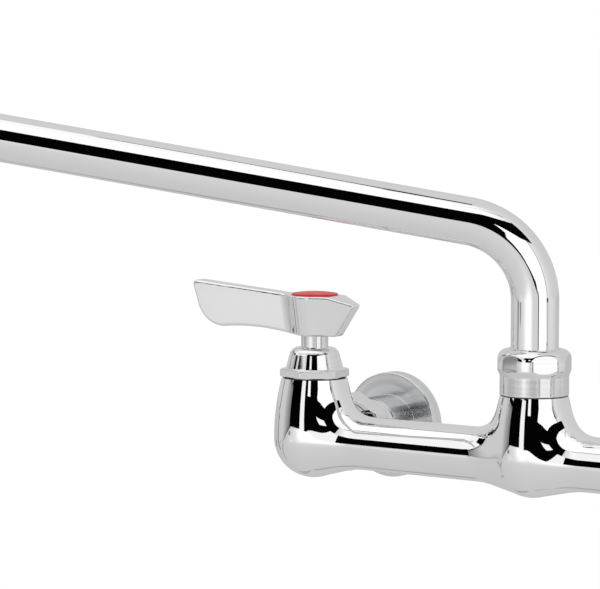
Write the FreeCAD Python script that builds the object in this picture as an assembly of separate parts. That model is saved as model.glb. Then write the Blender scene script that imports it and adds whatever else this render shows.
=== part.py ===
import FreeCAD, Part

import math
import os

from FreeCAD import Vector

# A wall mounted mixing faucet with two lever valves and a swing spout.
# Millimetres. +X runs to the right along the wall, +Y into the wall, +Z up.
# The origin is on the wall face, midway between the two inlets, at the height of the body's arm.

# Whole faucet
inlet_centres = 203.2
wall_standoff = 60.0
spout_reach = 304.8
spout_rise_angle = 9.66
spout_rest_turn = -59.0
tube_radius = 9.1
waterway_radius = 6.0

# Clearances
running_clearance = 0.05
thread_clearance = 0.05
seal_clearance = 0.01
disc_film = 0.05
play = 0.1

# Cast body
arm_wall = 4.5
boss_height = 24.4
boss_wall = 2.8
neck_flare = 3.0
bulb_lift = 0.6
centre_bulb_lift = 1.4
arm_blend_radius = 10.0
arm_blend_margin = 1.5
passage_radius = 4.2
passage_setback = 3.0
inlet_passage_depth = 6.5
outlet_passage_height = 8.0

# Wall inlet and its union
port_reach = 8.0
port_blend_radius = 2.5
port_nut_gap = 0.4
port_thread_step = 0.8
port_thread_length = 5.5
flange_radius = 21.5
flange_thickness = 6.6
flange_edge_chamfer = 0.5
hub_wall = 3.27
hub_edge_chamfer = 0.4
pipe_thread_radius = 9.13
pipe_thread_stop = 3.5
tailpiece_wall = 2.4
inlet_washer_thickness = 2.0
union_nut_length = 15.5
union_nut_hex_length = 8.0
union_nut_collar_wall = 1.55
union_nut_collar_round = 0.9
union_nut_wall = 2.75
union_nut_corner_chamfer = 1.3
union_nut_lip = 3.6
union_nut_facing = 0.0
snap_ring_thickness = 1.1
snap_ring_height = 1.5
snap_ring_seat = 0.8
snap_ring_gap = 2.4
snap_ring_room = 1.1

# Valve cartridge
seat_height = 1.0
sump_depth = 9.5
chamber_step = 1.0
seat_seal_thickness = 1.6
sleeve_wall = 1.4
sleeve_lip_thickness = 1.8
sleeve_window_width = 7.0
disc_thickness = 3.2
disc_port_radius = 2.1
disc_port_offset = 3.9
drive_gap = 2.0
drive_key_width = 3.0
drive_key_depth = 1.6
drive_plate_thickness = 1.8
stem_washer_thickness = 0.6

# Bonnet and stem
bonnet_hex_inset = 1.0
bonnet_hex_height = 3.7
bonnet_corner_chamfer = 0.8
bonnet_facing = 9.7
bonnet_dome_height = 8.4
bonnet_dome_inset = 0.6
bonnet_top_land = 2.2
bonnet_shoulder_round = 2.6
gasket_section = 1.3
stem_radius = 5.4
stem_seal_section = 0.9
stem_seal_rise = 1.1
stem_seal_pitch = 4.2
stem_square_inset = 0.17
stem_round_entry = 1.0

# Lever handle
handle_gap = 4.7
handle_height = 16.0
handle_foot_radius = 7.6
handle_rim = 0.8
lever_reach = 59.0
blade_bottom_half_width = 2.8
blade_top_half_width = 3.3
blade_rise_angle = 4.2
blade_foot_lift = 1.5
web_blend_radius = 3.5
heel_radius = 8.0
hump_radius = 65.0
hump_height = 2.9
toe_radius = 12.5
tip_lean_angle = 17.5
tail_bottom_reach = 12.0
tail_top_reach = 22.8
tail_half_width = 2.5
tail_bevel_angle = 16.5
handle_corner_round = 1.6
handle_edge_round = 1.1
handle_web = 2.4
index_radius = 9.2
index_recess = 0.7
index_crown = 1.7
index_plug_radius = 5.9
index_plug_length = 1.6
screw_head_radius = 4.4
screw_head_height = 2.6
screw_radius = 2.4
screw_length = 9.0
screw_socket_flats = 4.0
screw_socket_depth = 1.6

# Swing spout and its swivel
tube_wall = 1.2
bend_radius = 30.5
spout_corner_height = 85.9
outlet_leg = 13.7
ferrule_skin = 0.35
ferrule_bore_inset = 2.7
ferrule_collar_inset = 0.4
ferrule_collar_height = 4.2
ferrule_socket_depth = 3.0
ferrule_foot_gap = 1.5
swivel_bore_depth = 16.0
spigot_wall = 1.7
spigot_height = 7.7
swivel_seal_section = 0.9
swivel_seal_height = 3.0
swivel_seal_pitch = 6.0
swivel_washer_thickness = 0.8

# Spout nut
spout_nut_wall = 1.9
spout_nut_overhang = 0.15
spout_nut_skirt_height = 8.1
spout_nut_crown_swell = 1.05
spout_nut_crown_foot = 2.2
spout_nut_top_round = 4.0
spout_nut_lip = 4.1
spout_nut_flat_depth = 0.85
spout_nut_facing = 18.0
spout_nut_tube_gap = 0.3

# Outlet
aerator_wall = 2.25
aerator_length = 17.0
aerator_edge_round = 0.8
aerator_lip_thickness = 2.2
aerator_lip_width = 0.95
aerator_thread_depth = 9.0
aerator_washer_thickness = 1.5
aerator_hole_radius = 0.9
aerator_hole_inset = 4.1
aerator_hole_count = 8

UP = Vector(0, 0, 1)
RIGHT = Vector(1, 0, 0)
WALLWARD = Vector(0, 1, 0)
CENTRE = Vector(0, 0, 0)
HOT = -1
COLD = 1

# Round sizes: the tube sets the swivel, the swivel sets the bosses, the bosses set the valves
ferrule_radius = tube_radius + ferrule_skin
swivel_bore_radius = ferrule_radius + running_clearance
spigot_radius = swivel_bore_radius + spigot_wall
ferrule_collar_radius = spigot_radius - ferrule_collar_inset
spout_nut_skirt_radius = spigot_radius + thread_clearance + spout_nut_wall
spout_nut_crown_radius = spout_nut_skirt_radius + spout_nut_crown_swell
boss_top_radius = spout_nut_skirt_radius - spout_nut_overhang
bulb_radius = boss_top_radius + neck_flare
bonnet_thread_radius = boss_top_radius - boss_wall
chamber_radius = bonnet_thread_radius - chamber_step
sleeve_radius = chamber_radius - play
sleeve_bore_radius = sleeve_radius - sleeve_wall
disc_radius = sleeve_bore_radius - running_clearance
gasket_radius = bonnet_thread_radius + gasket_section + play
bonnet_top_radius = stem_radius + bonnet_top_land
stem_square = math.sqrt(2) * (stem_radius - stem_square_inset)
handle_top_radius = index_radius + play + handle_rim
arm_radius = waterway_radius + arm_wall
blend_radius = min(arm_blend_radius, boss_height - arm_radius - arm_blend_margin)
tailpiece_radius = waterway_radius + tailpiece_wall
snap_ring_radius = tailpiece_radius + snap_ring_height
port_thread_radius = snap_ring_radius + snap_ring_room
port_radius = port_thread_radius + port_thread_step
hub_radius = pipe_thread_radius + hub_wall
aerator_radius = tube_radius + thread_clearance + aerator_wall

# Heights in the valves, from the seat upwards
fixed_disc_z = seat_height + seat_seal_thickness
rotating_disc_z = fixed_disc_z + disc_thickness + disc_film
rotating_disc_top_z = rotating_disc_z + disc_thickness
drive_slot_z = rotating_disc_top_z - drive_key_depth
drive_plate_z = rotating_disc_top_z + drive_gap
stem_washer_z = drive_plate_z + drive_plate_thickness
sleeve_lip_z = stem_washer_z + stem_washer_thickness + play
sleeve_top_z = sleeve_lip_z + sleeve_lip_thickness
gasket_z = boss_height - gasket_section
bonnet_hex_top_z = boss_height + bonnet_hex_height
bonnet_top_z = bonnet_hex_top_z + bonnet_dome_height

# Heights in the levers
handle_bottom_z = bonnet_top_z + handle_gap
handle_top_z = handle_bottom_z + handle_height
stem_square_z = handle_bottom_z + stem_round_entry
index_seat_z = handle_top_z - index_recess
index_plug_z = index_seat_z - index_plug_length
screw_seat_z = index_plug_z - screw_head_height
stem_top_z = screw_seat_z - handle_web

# Places along the inlets, measured out from the wall
nut_front = wall_standoff - bulb_radius - port_reach
hub_front = nut_front - union_nut_length
pipe_thread_depth = hub_front - pipe_thread_stop
port_face = nut_front - port_thread_length
tailpiece_front = port_face - inlet_washer_thickness
snap_ring_back = hub_front + union_nut_lip + play

# Heights in the swivel and the outlet
spigot_top_z = boss_height + spigot_height
ferrule_collar_z = spigot_top_z + swivel_washer_thickness + play
ferrule_top_z = ferrule_collar_z + ferrule_collar_height
nut_lip_z = ferrule_top_z + swivel_washer_thickness + play
nut_top_z = nut_lip_z + spout_nut_lip
swivel_floor_z = boss_height - swivel_bore_depth
ferrule_foot_z = swivel_floor_z + ferrule_foot_gap
tube_foot_z = ferrule_top_z - ferrule_socket_depth
slope = math.radians(spout_rise_angle)
spout_peak_z = spout_corner_height + spout_reach * math.tan(slope)
outlet_bend_set = bend_radius * math.tan(0.5 * (math.pi / 2 + slope))
spout_end_z = spout_peak_z - outlet_bend_set - outlet_leg
aerator_top_z = spout_end_z + aerator_thread_depth
aerator_bottom_z = aerator_top_z - aerator_length
aerator_seat_z = aerator_bottom_z + aerator_lip_thickness
aerator_insert_top_z = spout_end_z - aerator_washer_thickness

# Tools run this far past the faces they cut
overrun = 1.0


def line(start, end):
    return Part.LineSegment(Vector(*start), Vector(*end)).toShape()


def arc(start, middle, end):
    return Part.Arc(Vector(*start), Vector(*middle), Vector(*end)).toShape()


def polygon(points):
    return Part.makePolygon([Vector(*p) for p in points] + [Vector(*points[0])])


def turned(outline):
    """A solid of revolution about Z from closed edges in the XZ plane."""
    return Part.Face(Part.Wire(outline)).revolve(CENTRE, UP, 360)


def turned_steps(steps):
    """The same from straight steps, each a radius and a height."""
    return Part.Face(polygon([(r, 0, z) for r, z in steps])).revolve(CENTRE, UP, 360)


def rod(radius, bottom, top):
    return Part.makeCylinder(radius, top - bottom, Vector(0, 0, bottom), UP)


def ring(outer, inner, bottom, top):
    return rod(outer, bottom, top).cut(rod(inner, bottom - overrun, top + overrun))


def drilled(start, end, radius):
    path = Vector(*end) - Vector(*start)
    return Part.makeCylinder(radius, path.Length, Vector(*start), path)


def centred_bar(length, width, bottom, top):
    corner = Vector(-length / 2, -width / 2, bottom)
    return Part.makeBox(length, width, top - bottom, corner)


def swept_point(centre, radius, angle):
    """A point in the XZ plane at an angle in degrees about a centre."""
    a = math.radians(angle)
    return (centre[0] + radius * math.cos(a), 0, centre[1] + radius * math.sin(a))


def swept_arc(centre, radius, start, end):
    middle = 0.5 * (start + end)
    return arc(*[swept_point(centre, radius, angle) for angle in (start, middle, end)])


def hex_bar(across_flats, bottom, top, facing):
    """A hexagonal bar, one flat facing this many degrees from +X."""
    corner = across_flats / math.sqrt(3.0)
    angles = [math.radians(facing + 30.0 + 60.0 * i) for i in range(6)]
    points = [(corner * math.cos(a), corner * math.sin(a), bottom) for a in angles]
    return Part.Face(polygon(points)).extrude(Vector(0, 0, top - bottom))


def turned_hex(across_flats, bottom, top, chamfer, facing):
    """A hexagonal bar with both ends turned back to a circle, as a nut's are."""
    corner = across_flats / math.sqrt(3.0)
    drop = chamfer * math.tan(math.radians(30.0))
    envelope = turned_steps([(0, bottom), (corner - chamfer, bottom), (corner, bottom + drop),
                             (corner, top - drop), (corner - chamfer, top), (0, top)])
    return hex_bar(across_flats, bottom, top, facing).common(envelope)


def seal_rings(bore_radius, section, heights):
    """O-rings on Z that just meet a bore."""
    thick = section - seal_clearance
    hoop_radius = bore_radius - seal_clearance - thick
    hoops = [Part.makeTorus(hoop_radius, thick, Vector(0, 0, z), UP) for z in heights]
    return Part.makeCompound(hoops)


def seal_grooves(shaft_radius, bore_radius, section, heights):
    """The grooves those rings lie in, on a shaft."""
    floor = bore_radius - 2 * section
    half_width = section + play
    return [ring(shaft_radius + overrun, floor, z - half_width, z + half_width) for z in heights]


def at_valve(shape, side):
    """A valve piece, drawn with its lever along +X, on the hot or the cold valve."""
    placed = shape.copy()
    if side == HOT:
        placed.rotate(CENTRE, UP, 180)
    placed.translate(Vector(side * inlet_centres / 2, -wall_standoff, 0))
    return placed


def at_inlet(shape, side):
    """An inlet piece, drawn with Z running out from the wall, on the hot or the cold inlet."""
    placed = shape.copy()
    placed.rotate(CENTRE, RIGHT, 90)
    placed.translate(Vector(side * inlet_centres / 2, 0, 0))
    return placed


def at_riser(shape, turn=0.0):
    placed = shape.copy()
    placed.rotate(CENTRE, UP, turn)
    placed.translate(Vector(0, -wall_standoff, 0))
    return placed


def at_outlet(shape):
    """A piece drawn on Z, on the outlet's axis at the rest swing."""
    placed = shape.copy()
    placed.translate(Vector(0, -spout_reach, 0))
    return at_riser(placed, spout_rest_turn)


def save(name, shape):
    solids = shape.Solids
    whole = solids[0] if len(solids) == 1 else Part.makeCompound(solids)
    whole.exportStep("parts/" + name + ".step")
    print(name, len(solids), "solids", round(whole.Volume, 1), "mm3, valid", whole.isValid())


# Cast body

def boss(lift, seam_turn):
    """One boss: a long arc narrows its neck upward and a ball, lifted this far, closes it below.

    The seam of the turned surface goes where no arm or port is blended into it."""
    rise = boss_height - lift
    neck_radius = (rise ** 2 + neck_flare ** 2) / (2 * neck_flare)
    neck_centre = (bulb_radius - neck_radius, lift)
    neck_angle = math.degrees(math.asin(rise / neck_radius))
    foot = (0, 0, lift - bulb_radius)
    crown = (0, 0, boss_height)
    shape = turned([swept_arc((0, lift), bulb_radius, -90, 0),
                    swept_arc(neck_centre, neck_radius, 0, neck_angle),
                    line((boss_top_radius, 0, boss_height), crown), line(crown, foot)])
    shape.rotate(CENTRE, UP, seam_turn)
    return shape


def tube_seams(shape, base, direction, radius):
    """The curved edges where a round tube runs into a boss."""
    found = []
    for edge in shape.Edges:
        if edge.Degenerated or isinstance(edge.Curve, Part.Line):
            continue
        points = edge.discretize(9)
        along = [(p - base).dot(direction) for p in points]
        misfit = max(abs((p - base).cross(direction).Length - radius) for p in points)
        if misfit < 0.05 and min(along) > 1 and max(along) - min(along) > 0.01:
            found.append(edge)
    return found


def body_casting():
    """Three bosses on one arm, blended where they meet, with a rear port behind each valve."""
    half = inlet_centres / 2
    arm_base = Vector(-half, -wall_standoff, 0)
    arm = Part.makeCylinder(arm_radius, inlet_centres, arm_base, RIGHT)
    bosses = []
    places = ((-half, bulb_lift, 180), (0, centre_bulb_lift, 90), (half, bulb_lift, 0))
    for x, lift, seam_turn in places:
        piece = at_riser(boss(lift, seam_turn))
        piece.translate(Vector(x, 0, 0))
        bosses.append(piece)
    casting = arm.multiFuse(bosses)
    casting = casting.makeFillet(blend_radius, tube_seams(casting, arm_base, RIGHT, arm_radius))
    for side in (HOT, COLD):
        base = Vector(side * half, -wall_standoff, 0)
        reach = wall_standoff - nut_front - port_nut_gap
        casting = casting.fuse(Part.makeCylinder(port_radius, reach, base, WALLWARD))
        casting = casting.makeFillet(port_blend_radius, tube_seams(casting, base, WALLWARD, port_radius))
        thread = Part.makeCylinder(port_thread_radius, wall_standoff - port_face, base, WALLWARD)
        casting = casting.fuse(thread)
    return casting.fuse(at_riser(rod(spigot_radius, 0, spigot_top_z)))


def valve_hollow(side):
    """Chamber, sump and passages of one valve: water can pass only through its cartridge."""
    x = side * inlet_centres / 2
    y = -wall_standoff
    start = bulb_radius + passage_setback
    well = rod(chamber_radius, seat_height, sleeve_top_z)
    well = well.fuse(rod(bonnet_thread_radius + thread_clearance, sleeve_top_z, boss_height + overrun))
    well = well.fuse(rod(gasket_radius + play, gasket_z, boss_height + overrun))
    well = well.fuse(rod(waterway_radius, seat_height - sump_depth, seat_height + overrun))
    well.translate(Vector(x, y, 0))
    port_bore = drilled((x, overrun - port_face, 0), (x, y + start, 0), waterway_radius)
    inlet = drilled((x, y + start + overrun, 0), (x, y + disc_port_offset, -inlet_passage_depth),
                    passage_radius)
    outlet = drilled((x - side * (start + overrun), y, 0),
                     (x - side * waterway_radius, y, outlet_passage_height), passage_radius)
    return [well, port_bore, inlet, outlet]


def swivel_hollow():
    well = rod(swivel_bore_radius, swivel_floor_z, spigot_top_z + overrun)
    return at_riser(well.fuse(rod(waterway_radius, 0, swivel_floor_z + overrun)))


def faucet_body():
    bore_end = inlet_centres / 2 - bulb_radius - passage_setback
    y = -wall_standoff
    arm_bore = drilled((-bore_end, y, 0), (bore_end, y, 0), waterway_radius)
    hollow = arm_bore.multiFuse([swivel_hollow()] + valve_hollow(HOT) + valve_hollow(COLD))
    return body_casting().cut(hollow)


# Wall inlets

def inlet_flange():
    """Wall disc, hub with its pipe thread, and the tailpiece that the union nut turns on."""
    shape = turned_steps([
        (0, 0), (flange_radius, 0), (flange_radius, flange_thickness - flange_edge_chamfer),
        (flange_radius - flange_edge_chamfer, flange_thickness), (hub_radius, flange_thickness),
        (hub_radius, hub_front - hub_edge_chamfer), (hub_radius - hub_edge_chamfer, hub_front),
        (tailpiece_radius, hub_front), (tailpiece_radius, tailpiece_front), (0, tailpiece_front)])
    groove = ring(hub_radius, tailpiece_radius - snap_ring_seat,
                  snap_ring_back, snap_ring_back + snap_ring_thickness + play)
    bore = rod(pipe_thread_radius, -overrun, pipe_thread_depth)
    return shape.cut([groove, bore.fuse(rod(waterway_radius, 0, tailpiece_front + overrun))])


def union_nut():
    """Hexagon in front and round collar behind. Its thread runs on the body's port and its rear
    lip pulls on the snap ring."""
    thread_radius = port_thread_radius + thread_clearance
    collar = rod(thread_radius + union_nut_collar_wall, hub_front, nut_front)
    rear_rim = [edge for edge in collar.Edges if edge.BoundBox.ZMax < hub_front + play]
    collar = collar.makeFillet(union_nut_collar_round, rear_rim)
    grip = turned_hex(2 * (thread_radius + union_nut_wall), nut_front - union_nut_hex_length, nut_front,
                      union_nut_corner_chamfer, union_nut_facing)
    thread = rod(thread_radius, hub_front + union_nut_lip, nut_front + overrun)
    return collar.fuse(grip).cut(thread.fuse(rod(tailpiece_radius + play, hub_front - overrun, nut_front)))


def snap_ring():
    """Open ring that springs into the tailpiece's groove and keeps the nut on it."""
    top = snap_ring_back + snap_ring_thickness
    gap = centred_bar(2 * snap_ring_radius, snap_ring_gap, snap_ring_back - overrun, top + overrun)
    gap.translate(Vector(snap_ring_radius, 0, 0))
    inner = tailpiece_radius - snap_ring_seat + running_clearance
    return ring(snap_ring_radius, inner, snap_ring_back, top).cut(gap)


def inlet_washer():
    return ring(port_thread_radius - port_thread_step, waterway_radius + play, tailpiece_front, port_face)


# Valve cartridges

def seat_seal():
    return ring(sleeve_radius - play, waterway_radius + play, seat_height, fixed_disc_z)


def ceramic_disc(bottom, port_turn):
    """A lapped disc with two ports, on a line turned this many degrees from the lever."""
    ports = []
    for sign in (-1, 1):
        port = rod(disc_port_radius, bottom - overrun, bottom + disc_thickness + overrun)
        port.translate(Vector(sign * disc_port_offset, 0, 0))
        port.rotate(CENTRE, UP, port_turn)
        ports.append(port)
    return rod(disc_radius, bottom, bottom + disc_thickness).cut(ports)


def rotating_disc():
    """Closed at rest: its ports lie across the fixed ones until the lever has made a quarter turn."""
    disc = ceramic_disc(rotating_disc_z, 90.0)
    slot = centred_bar(3 * disc_radius, drive_key_width + play, drive_slot_z, drive_plate_z)
    return disc.cut(slot)


def cartridge_sleeve():
    """Shell round the discs, with windows that let the water out above them."""
    shell = rod(sleeve_radius, fixed_disc_z, sleeve_top_z)
    bore = rod(sleeve_bore_radius, fixed_disc_z - overrun, sleeve_lip_z)
    shell = shell.cut(bore.fuse(rod(stem_radius + play, fixed_disc_z, sleeve_top_z + overrun)))
    for turn in (0, 90):
        window = centred_bar(3 * sleeve_radius, sleeve_window_width, rotating_disc_top_z, drive_plate_z)
        window.rotate(CENTRE, UP, turn)
        shell = shell.cut(window)
    return shell


def stem_seal_heights():
    first = boss_height + stem_seal_rise
    return [first, first + stem_seal_pitch]


def stem():
    """Spindle: driving key and plate below, a round shank, and a square that takes the lever."""
    key = centred_bar(3 * disc_radius, drive_key_width, drive_slot_z + play, drive_plate_z)
    key = key.common(rod(disc_radius - play, drive_slot_z, drive_plate_z))
    plate = rod(disc_radius - play, drive_plate_z, stem_washer_z)
    shank = rod(stem_radius, drive_plate_z, stem_square_z)
    square = centred_bar(stem_square, stem_square, stem_square_z, stem_top_z)
    tapping_foot_z = screw_seat_z - screw_length - overrun
    tapping = rod(screw_radius + thread_clearance, tapping_foot_z, stem_top_z + overrun)
    grooves = seal_grooves(stem_radius, stem_radius + running_clearance, stem_seal_section,
                           stem_seal_heights())
    return plate.fuse([key, shank, square]).cut([tapping] + grooves)


def stem_o_rings():
    return seal_rings(stem_radius + running_clearance, stem_seal_section, stem_seal_heights())


def stem_washer():
    return ring(disc_radius - play, stem_radius + running_clearance,
                stem_washer_z, stem_washer_z + stem_washer_thickness)


# Bonnets

def bonnet():
    """Hexagon with a leaning, rounded dome above it and its thread below."""
    half_flats = boss_top_radius - bonnet_hex_inset
    foot = (half_flats - bonnet_dome_inset, 0, bonnet_hex_top_z)
    centre = (bonnet_top_radius, bonnet_top_z - bonnet_shoulder_round)
    run = (foot[0] - centre[0], foot[2] - centre[1])
    tangent = math.atan2(run[1], run[0]) + math.acos(bonnet_shoulder_round / math.hypot(*run))
    shoulder = math.degrees(tangent)
    axis_low = (0, 0, bonnet_hex_top_z)
    axis_high = (0, 0, bonnet_top_z)
    dome = turned([line(axis_low, foot), line(foot, swept_point(centre, bonnet_shoulder_round, shoulder)),
                   swept_arc(centre, bonnet_shoulder_round, shoulder, 90),
                   line((bonnet_top_radius, 0, bonnet_top_z), axis_high), line(axis_high, axis_low)])
    grip = turned_hex(2 * half_flats, boss_height, bonnet_hex_top_z, bonnet_corner_chamfer, bonnet_facing)
    thread = rod(bonnet_thread_radius, sleeve_top_z, boss_height)
    bore = rod(stem_radius + running_clearance, sleeve_top_z - overrun, bonnet_top_z + overrun)
    return thread.fuse([grip, dome]).cut(bore)


def bonnet_gasket():
    return ring(gasket_radius, bonnet_thread_radius + play, gasket_z, boss_height)


# Lever handles

def handle_plan(z):
    """Outline of the lever seen from above at one height: blade, webs, hub and tail."""
    share = (z - handle_bottom_z) / handle_height
    hub = handle_foot_radius + share * (handle_top_radius - handle_foot_radius)
    blade = blade_bottom_half_width + share * (blade_top_half_width - blade_bottom_half_width)
    tail = tail_bottom_reach + share * (tail_top_reach - tail_bottom_reach)
    web = web_blend_radius
    past_tip = lever_reach + toe_radius
    web_x = math.sqrt((hub + web) ** 2 - (blade + web) ** 2)
    web_angle = math.atan2(blade + web, web_x)
    tail_angle = math.atan2(tail_half_width, -tail) - math.acos(hub / math.hypot(tail, tail_half_width))

    def on_hub(angle):
        return (hub * math.cos(angle), hub * math.sin(angle), z)

    def on_web(angle):
        return (web_x + web * math.cos(angle), blade + web + web * math.sin(angle), z)

    web_middle = 0.5 * (-0.5 * math.pi + web_angle - math.pi)
    upper = [[(past_tip, blade, z), (web_x, blade, z)],
             [(web_x, blade, z), on_web(web_middle), on_hub(web_angle)],
             [on_hub(web_angle), on_hub(0.5 * (web_angle + tail_angle)), on_hub(tail_angle)],
             [on_hub(tail_angle), (-tail, tail_half_width, z)]]
    lower = [[(x, -y, z) for x, y, z in reversed(step)] for step in reversed(upper)]
    tail_end = [[(-tail, tail_half_width, z), (-tail, -tail_half_width, z)]]
    tip_end = [[(past_tip, -blade, z), (past_tip, blade, z)]]
    steps = upper + tail_end + lower + tip_end
    return Part.Wire([arc(*step) if len(step) == 3 else line(*step) for step in steps])


def blade_peak_z():
    return handle_top_z + (lever_reach - handle_top_radius) * math.tan(math.radians(blade_rise_angle))


def handle_side():
    """Side view of the lever: flat foot, heel, hump, round toe, leaning tip and rising top."""
    floor = handle_bottom_z
    far = 2 * tail_top_reach
    lean = math.radians(tip_lean_angle)
    toe_z = floor + blade_foot_lift + toe_radius
    tip_rise = blade_peak_z() - toe_z + toe_radius * math.sin(lean)
    toe_x = lever_reach - tip_rise * math.tan(lean) - toe_radius * math.cos(lean)
    hump_z = floor + hump_height - hump_radius
    hump_x = toe_x - math.sqrt((toe_radius + hump_radius) ** 2 - (toe_z - hump_z) ** 2)
    heel_z = floor + heel_radius
    heel_x = hump_x - math.sqrt((heel_radius + hump_radius) ** 2 - (heel_z - hump_z) ** 2)
    hump_start = math.degrees(math.atan2(heel_z - hump_z, heel_x - hump_x))
    hump_end = math.degrees(math.atan2(toe_z - hump_z, toe_x - hump_x))
    tip_foot = swept_point((toe_x, toe_z), toe_radius, -tip_lean_angle)
    tip_top = (lever_reach, 0, blade_peak_z())
    top_start = (handle_top_radius, 0, handle_top_z)
    bevel_start = (-handle_top_radius, 0, handle_top_z)
    bevel_fall = (far - handle_top_radius) * math.tan(math.radians(tail_bevel_angle))
    bevel_end = (-far, 0, handle_top_z - bevel_fall)
    return Part.Wire([
        line((-far, 0, floor), (heel_x, 0, floor)),
        swept_arc((heel_x, heel_z), heel_radius, -90, hump_start - 180),
        swept_arc((hump_x, hump_z), hump_radius, hump_start, hump_end),
        swept_arc((toe_x, toe_z), toe_radius, hump_end - 180, -tip_lean_angle),
        line(tip_foot, tip_top), line(tip_top, top_start), line(top_start, bevel_start),
        line(bevel_start, bevel_end), line(bevel_end, (-far, 0, floor))])


def handle_blank():
    """The plan drawn up through its height, trimmed by the side view."""
    block = Part.makeLoft([handle_plan(handle_bottom_z), handle_plan(blade_peak_z() + overrun)], True, True)
    width = 4 * handle_top_radius
    side = Part.Face(handle_side()).extrude(Vector(0, width, 0))
    side.translate(Vector(0, -width / 2, 0))
    return block.common(side)


def edge_normals(shape, edge):
    """The outward normals beside an edge's middle, least sideways first, and that middle."""
    middle = edge.valueAt(0.5 * (edge.FirstParameter + edge.LastParameter))
    faces = shape.ancestorsOfType(edge, Part.Face)
    normals = [face.normalAt(*face.Surface.parameter(middle)) for face in faces]
    return middle, sorted(normals, key=lambda n: abs(n.y))


def cross_corners(shape):
    """Sharp edges that run straight across the lever: tip, tail top and tail foot."""
    found = []
    for edge in shape.Edges:
        middle, normals = edge_normals(shape, edge)
        if abs(middle.y) < 0.01 and abs(normals[1].y) < 0.01 and normals[0].getAngle(normals[1]) > 0.5:
            found.append(edge)
    return found


def rim_edges(shape):
    """Edges where the lever's two sides meet its top, underside, tip and tail end."""
    found = []
    for edge in shape.Edges:
        normals = edge_normals(shape, edge)[1]
        if abs(normals[0].y) < 0.02 and abs(normals[1].y) > 0.1:
            found.append(edge)
    return found


def lever_handle():
    """Cast lever: rounded all over, with its stem socket, screw hole and index recess."""
    shape = handle_blank()
    shape = shape.makeFillet(handle_corner_round, cross_corners(shape))
    shape = shape.makeFillet(handle_edge_round, rim_edges(shape))
    socket = centred_bar(stem_square + play, stem_square + play, handle_bottom_z - overrun, stem_top_z + play)
    entry = rod(stem_radius + play, handle_bottom_z - overrun, stem_square_z + play)
    screw_hole = rod(screw_radius + play, stem_top_z, index_seat_z)
    head_bore = rod(index_plug_radius + play, screw_seat_z, index_seat_z + overrun)
    recess = rod(index_radius + play, index_seat_z, handle_top_z + overrun)
    return shape.cut(entry.fuse([socket, screw_hole, head_bore, recess]))


def index_button():
    """Domed colour disc with a short plug that hides the screw."""
    crown_z = handle_top_z + index_crown
    dome_radius = (index_radius ** 2 + index_crown ** 2) / (2 * index_crown)
    dome_angle = math.degrees(math.asin(index_radius / dome_radius))
    seat_middle = (0, 0, index_seat_z)
    seat_edge = (index_radius, 0, index_seat_z)
    disc = turned([line(seat_middle, seat_edge), line(seat_edge, (index_radius, 0, handle_top_z)),
                   swept_arc((0, crown_z - dome_radius), dome_radius, 90 - dome_angle, 90),
                   line((0, 0, crown_z), seat_middle)])
    return disc.fuse(rod(index_plug_radius, index_plug_z, index_seat_z))


def handle_screw():
    head = rod(screw_head_radius, screw_seat_z, index_plug_z - play)
    shank = rod(screw_radius, screw_seat_z - screw_length, screw_seat_z)
    socket = hex_bar(screw_socket_flats, index_plug_z - screw_socket_depth, index_plug_z + overrun, 0.0)
    return head.fuse(shank).cut(socket)


# Swing spout

def spout_path():
    """Riser, bend, rising run, bend and outlet leg, drawn straight out from the wall."""
    riser_bend_set = bend_radius * math.tan(0.5 * (math.pi / 2 - slope))
    low_centre = (bend_radius, spout_corner_height - riser_bend_set)
    high_centre = (spout_reach - bend_radius, spout_peak_z - outlet_bend_set)

    def point(out, z):
        return (0, -out, z)

    def on_bend(centre, angle):
        a = math.radians(angle)
        return point(centre[0] + bend_radius * math.cos(a), centre[1] + bend_radius * math.sin(a))

    def bend(centre, start, end):
        return arc(on_bend(centre, start), on_bend(centre, 0.5 * (start + end)), on_bend(centre, end))

    run_angle = 90 + spout_rise_angle
    return Part.Wire([
        line(point(0, tube_foot_z), point(0, low_centre[1])),
        bend(low_centre, 180, run_angle),
        line(on_bend(low_centre, run_angle), on_bend(high_centre, run_angle)),
        bend(high_centre, run_angle, 0),
        line(point(spout_reach, high_centre[1]), point(spout_reach, spout_end_z))])


def swept_rod(radius):
    section = Part.Wire(Part.makeCircle(radius, Vector(0, 0, tube_foot_z), UP))
    return spout_path().makePipeShell([section], True, False)


def spout_tube():
    return swept_rod(tube_radius).cut(swept_rod(tube_radius - tube_wall))


def swivel_seal_heights():
    first = ferrule_foot_z + swivel_seal_height
    return [first, first + swivel_seal_pitch]


def spout_ferrule():
    """Turned sleeve on the tube's foot: a shank that swivels in the body, and a collar."""
    shank = rod(ferrule_radius, ferrule_foot_z, ferrule_collar_z)
    shape = shank.fuse(rod(ferrule_collar_radius, ferrule_collar_z, ferrule_top_z))
    bore = rod(tube_radius - ferrule_bore_inset, ferrule_foot_z - overrun, ferrule_top_z)
    socket = rod(tube_radius, tube_foot_z, ferrule_top_z + overrun)
    grooves = seal_grooves(ferrule_radius, swivel_bore_radius, swivel_seal_section, swivel_seal_heights())
    return shape.cut([bore.fuse(socket)] + grooves)


def swivel_o_rings():
    return seal_rings(swivel_bore_radius, swivel_seal_section, swivel_seal_heights())


def swivel_washer(bottom):
    return ring(spigot_radius - play, swivel_bore_radius + play, bottom, bottom + swivel_washer_thickness)


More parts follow.
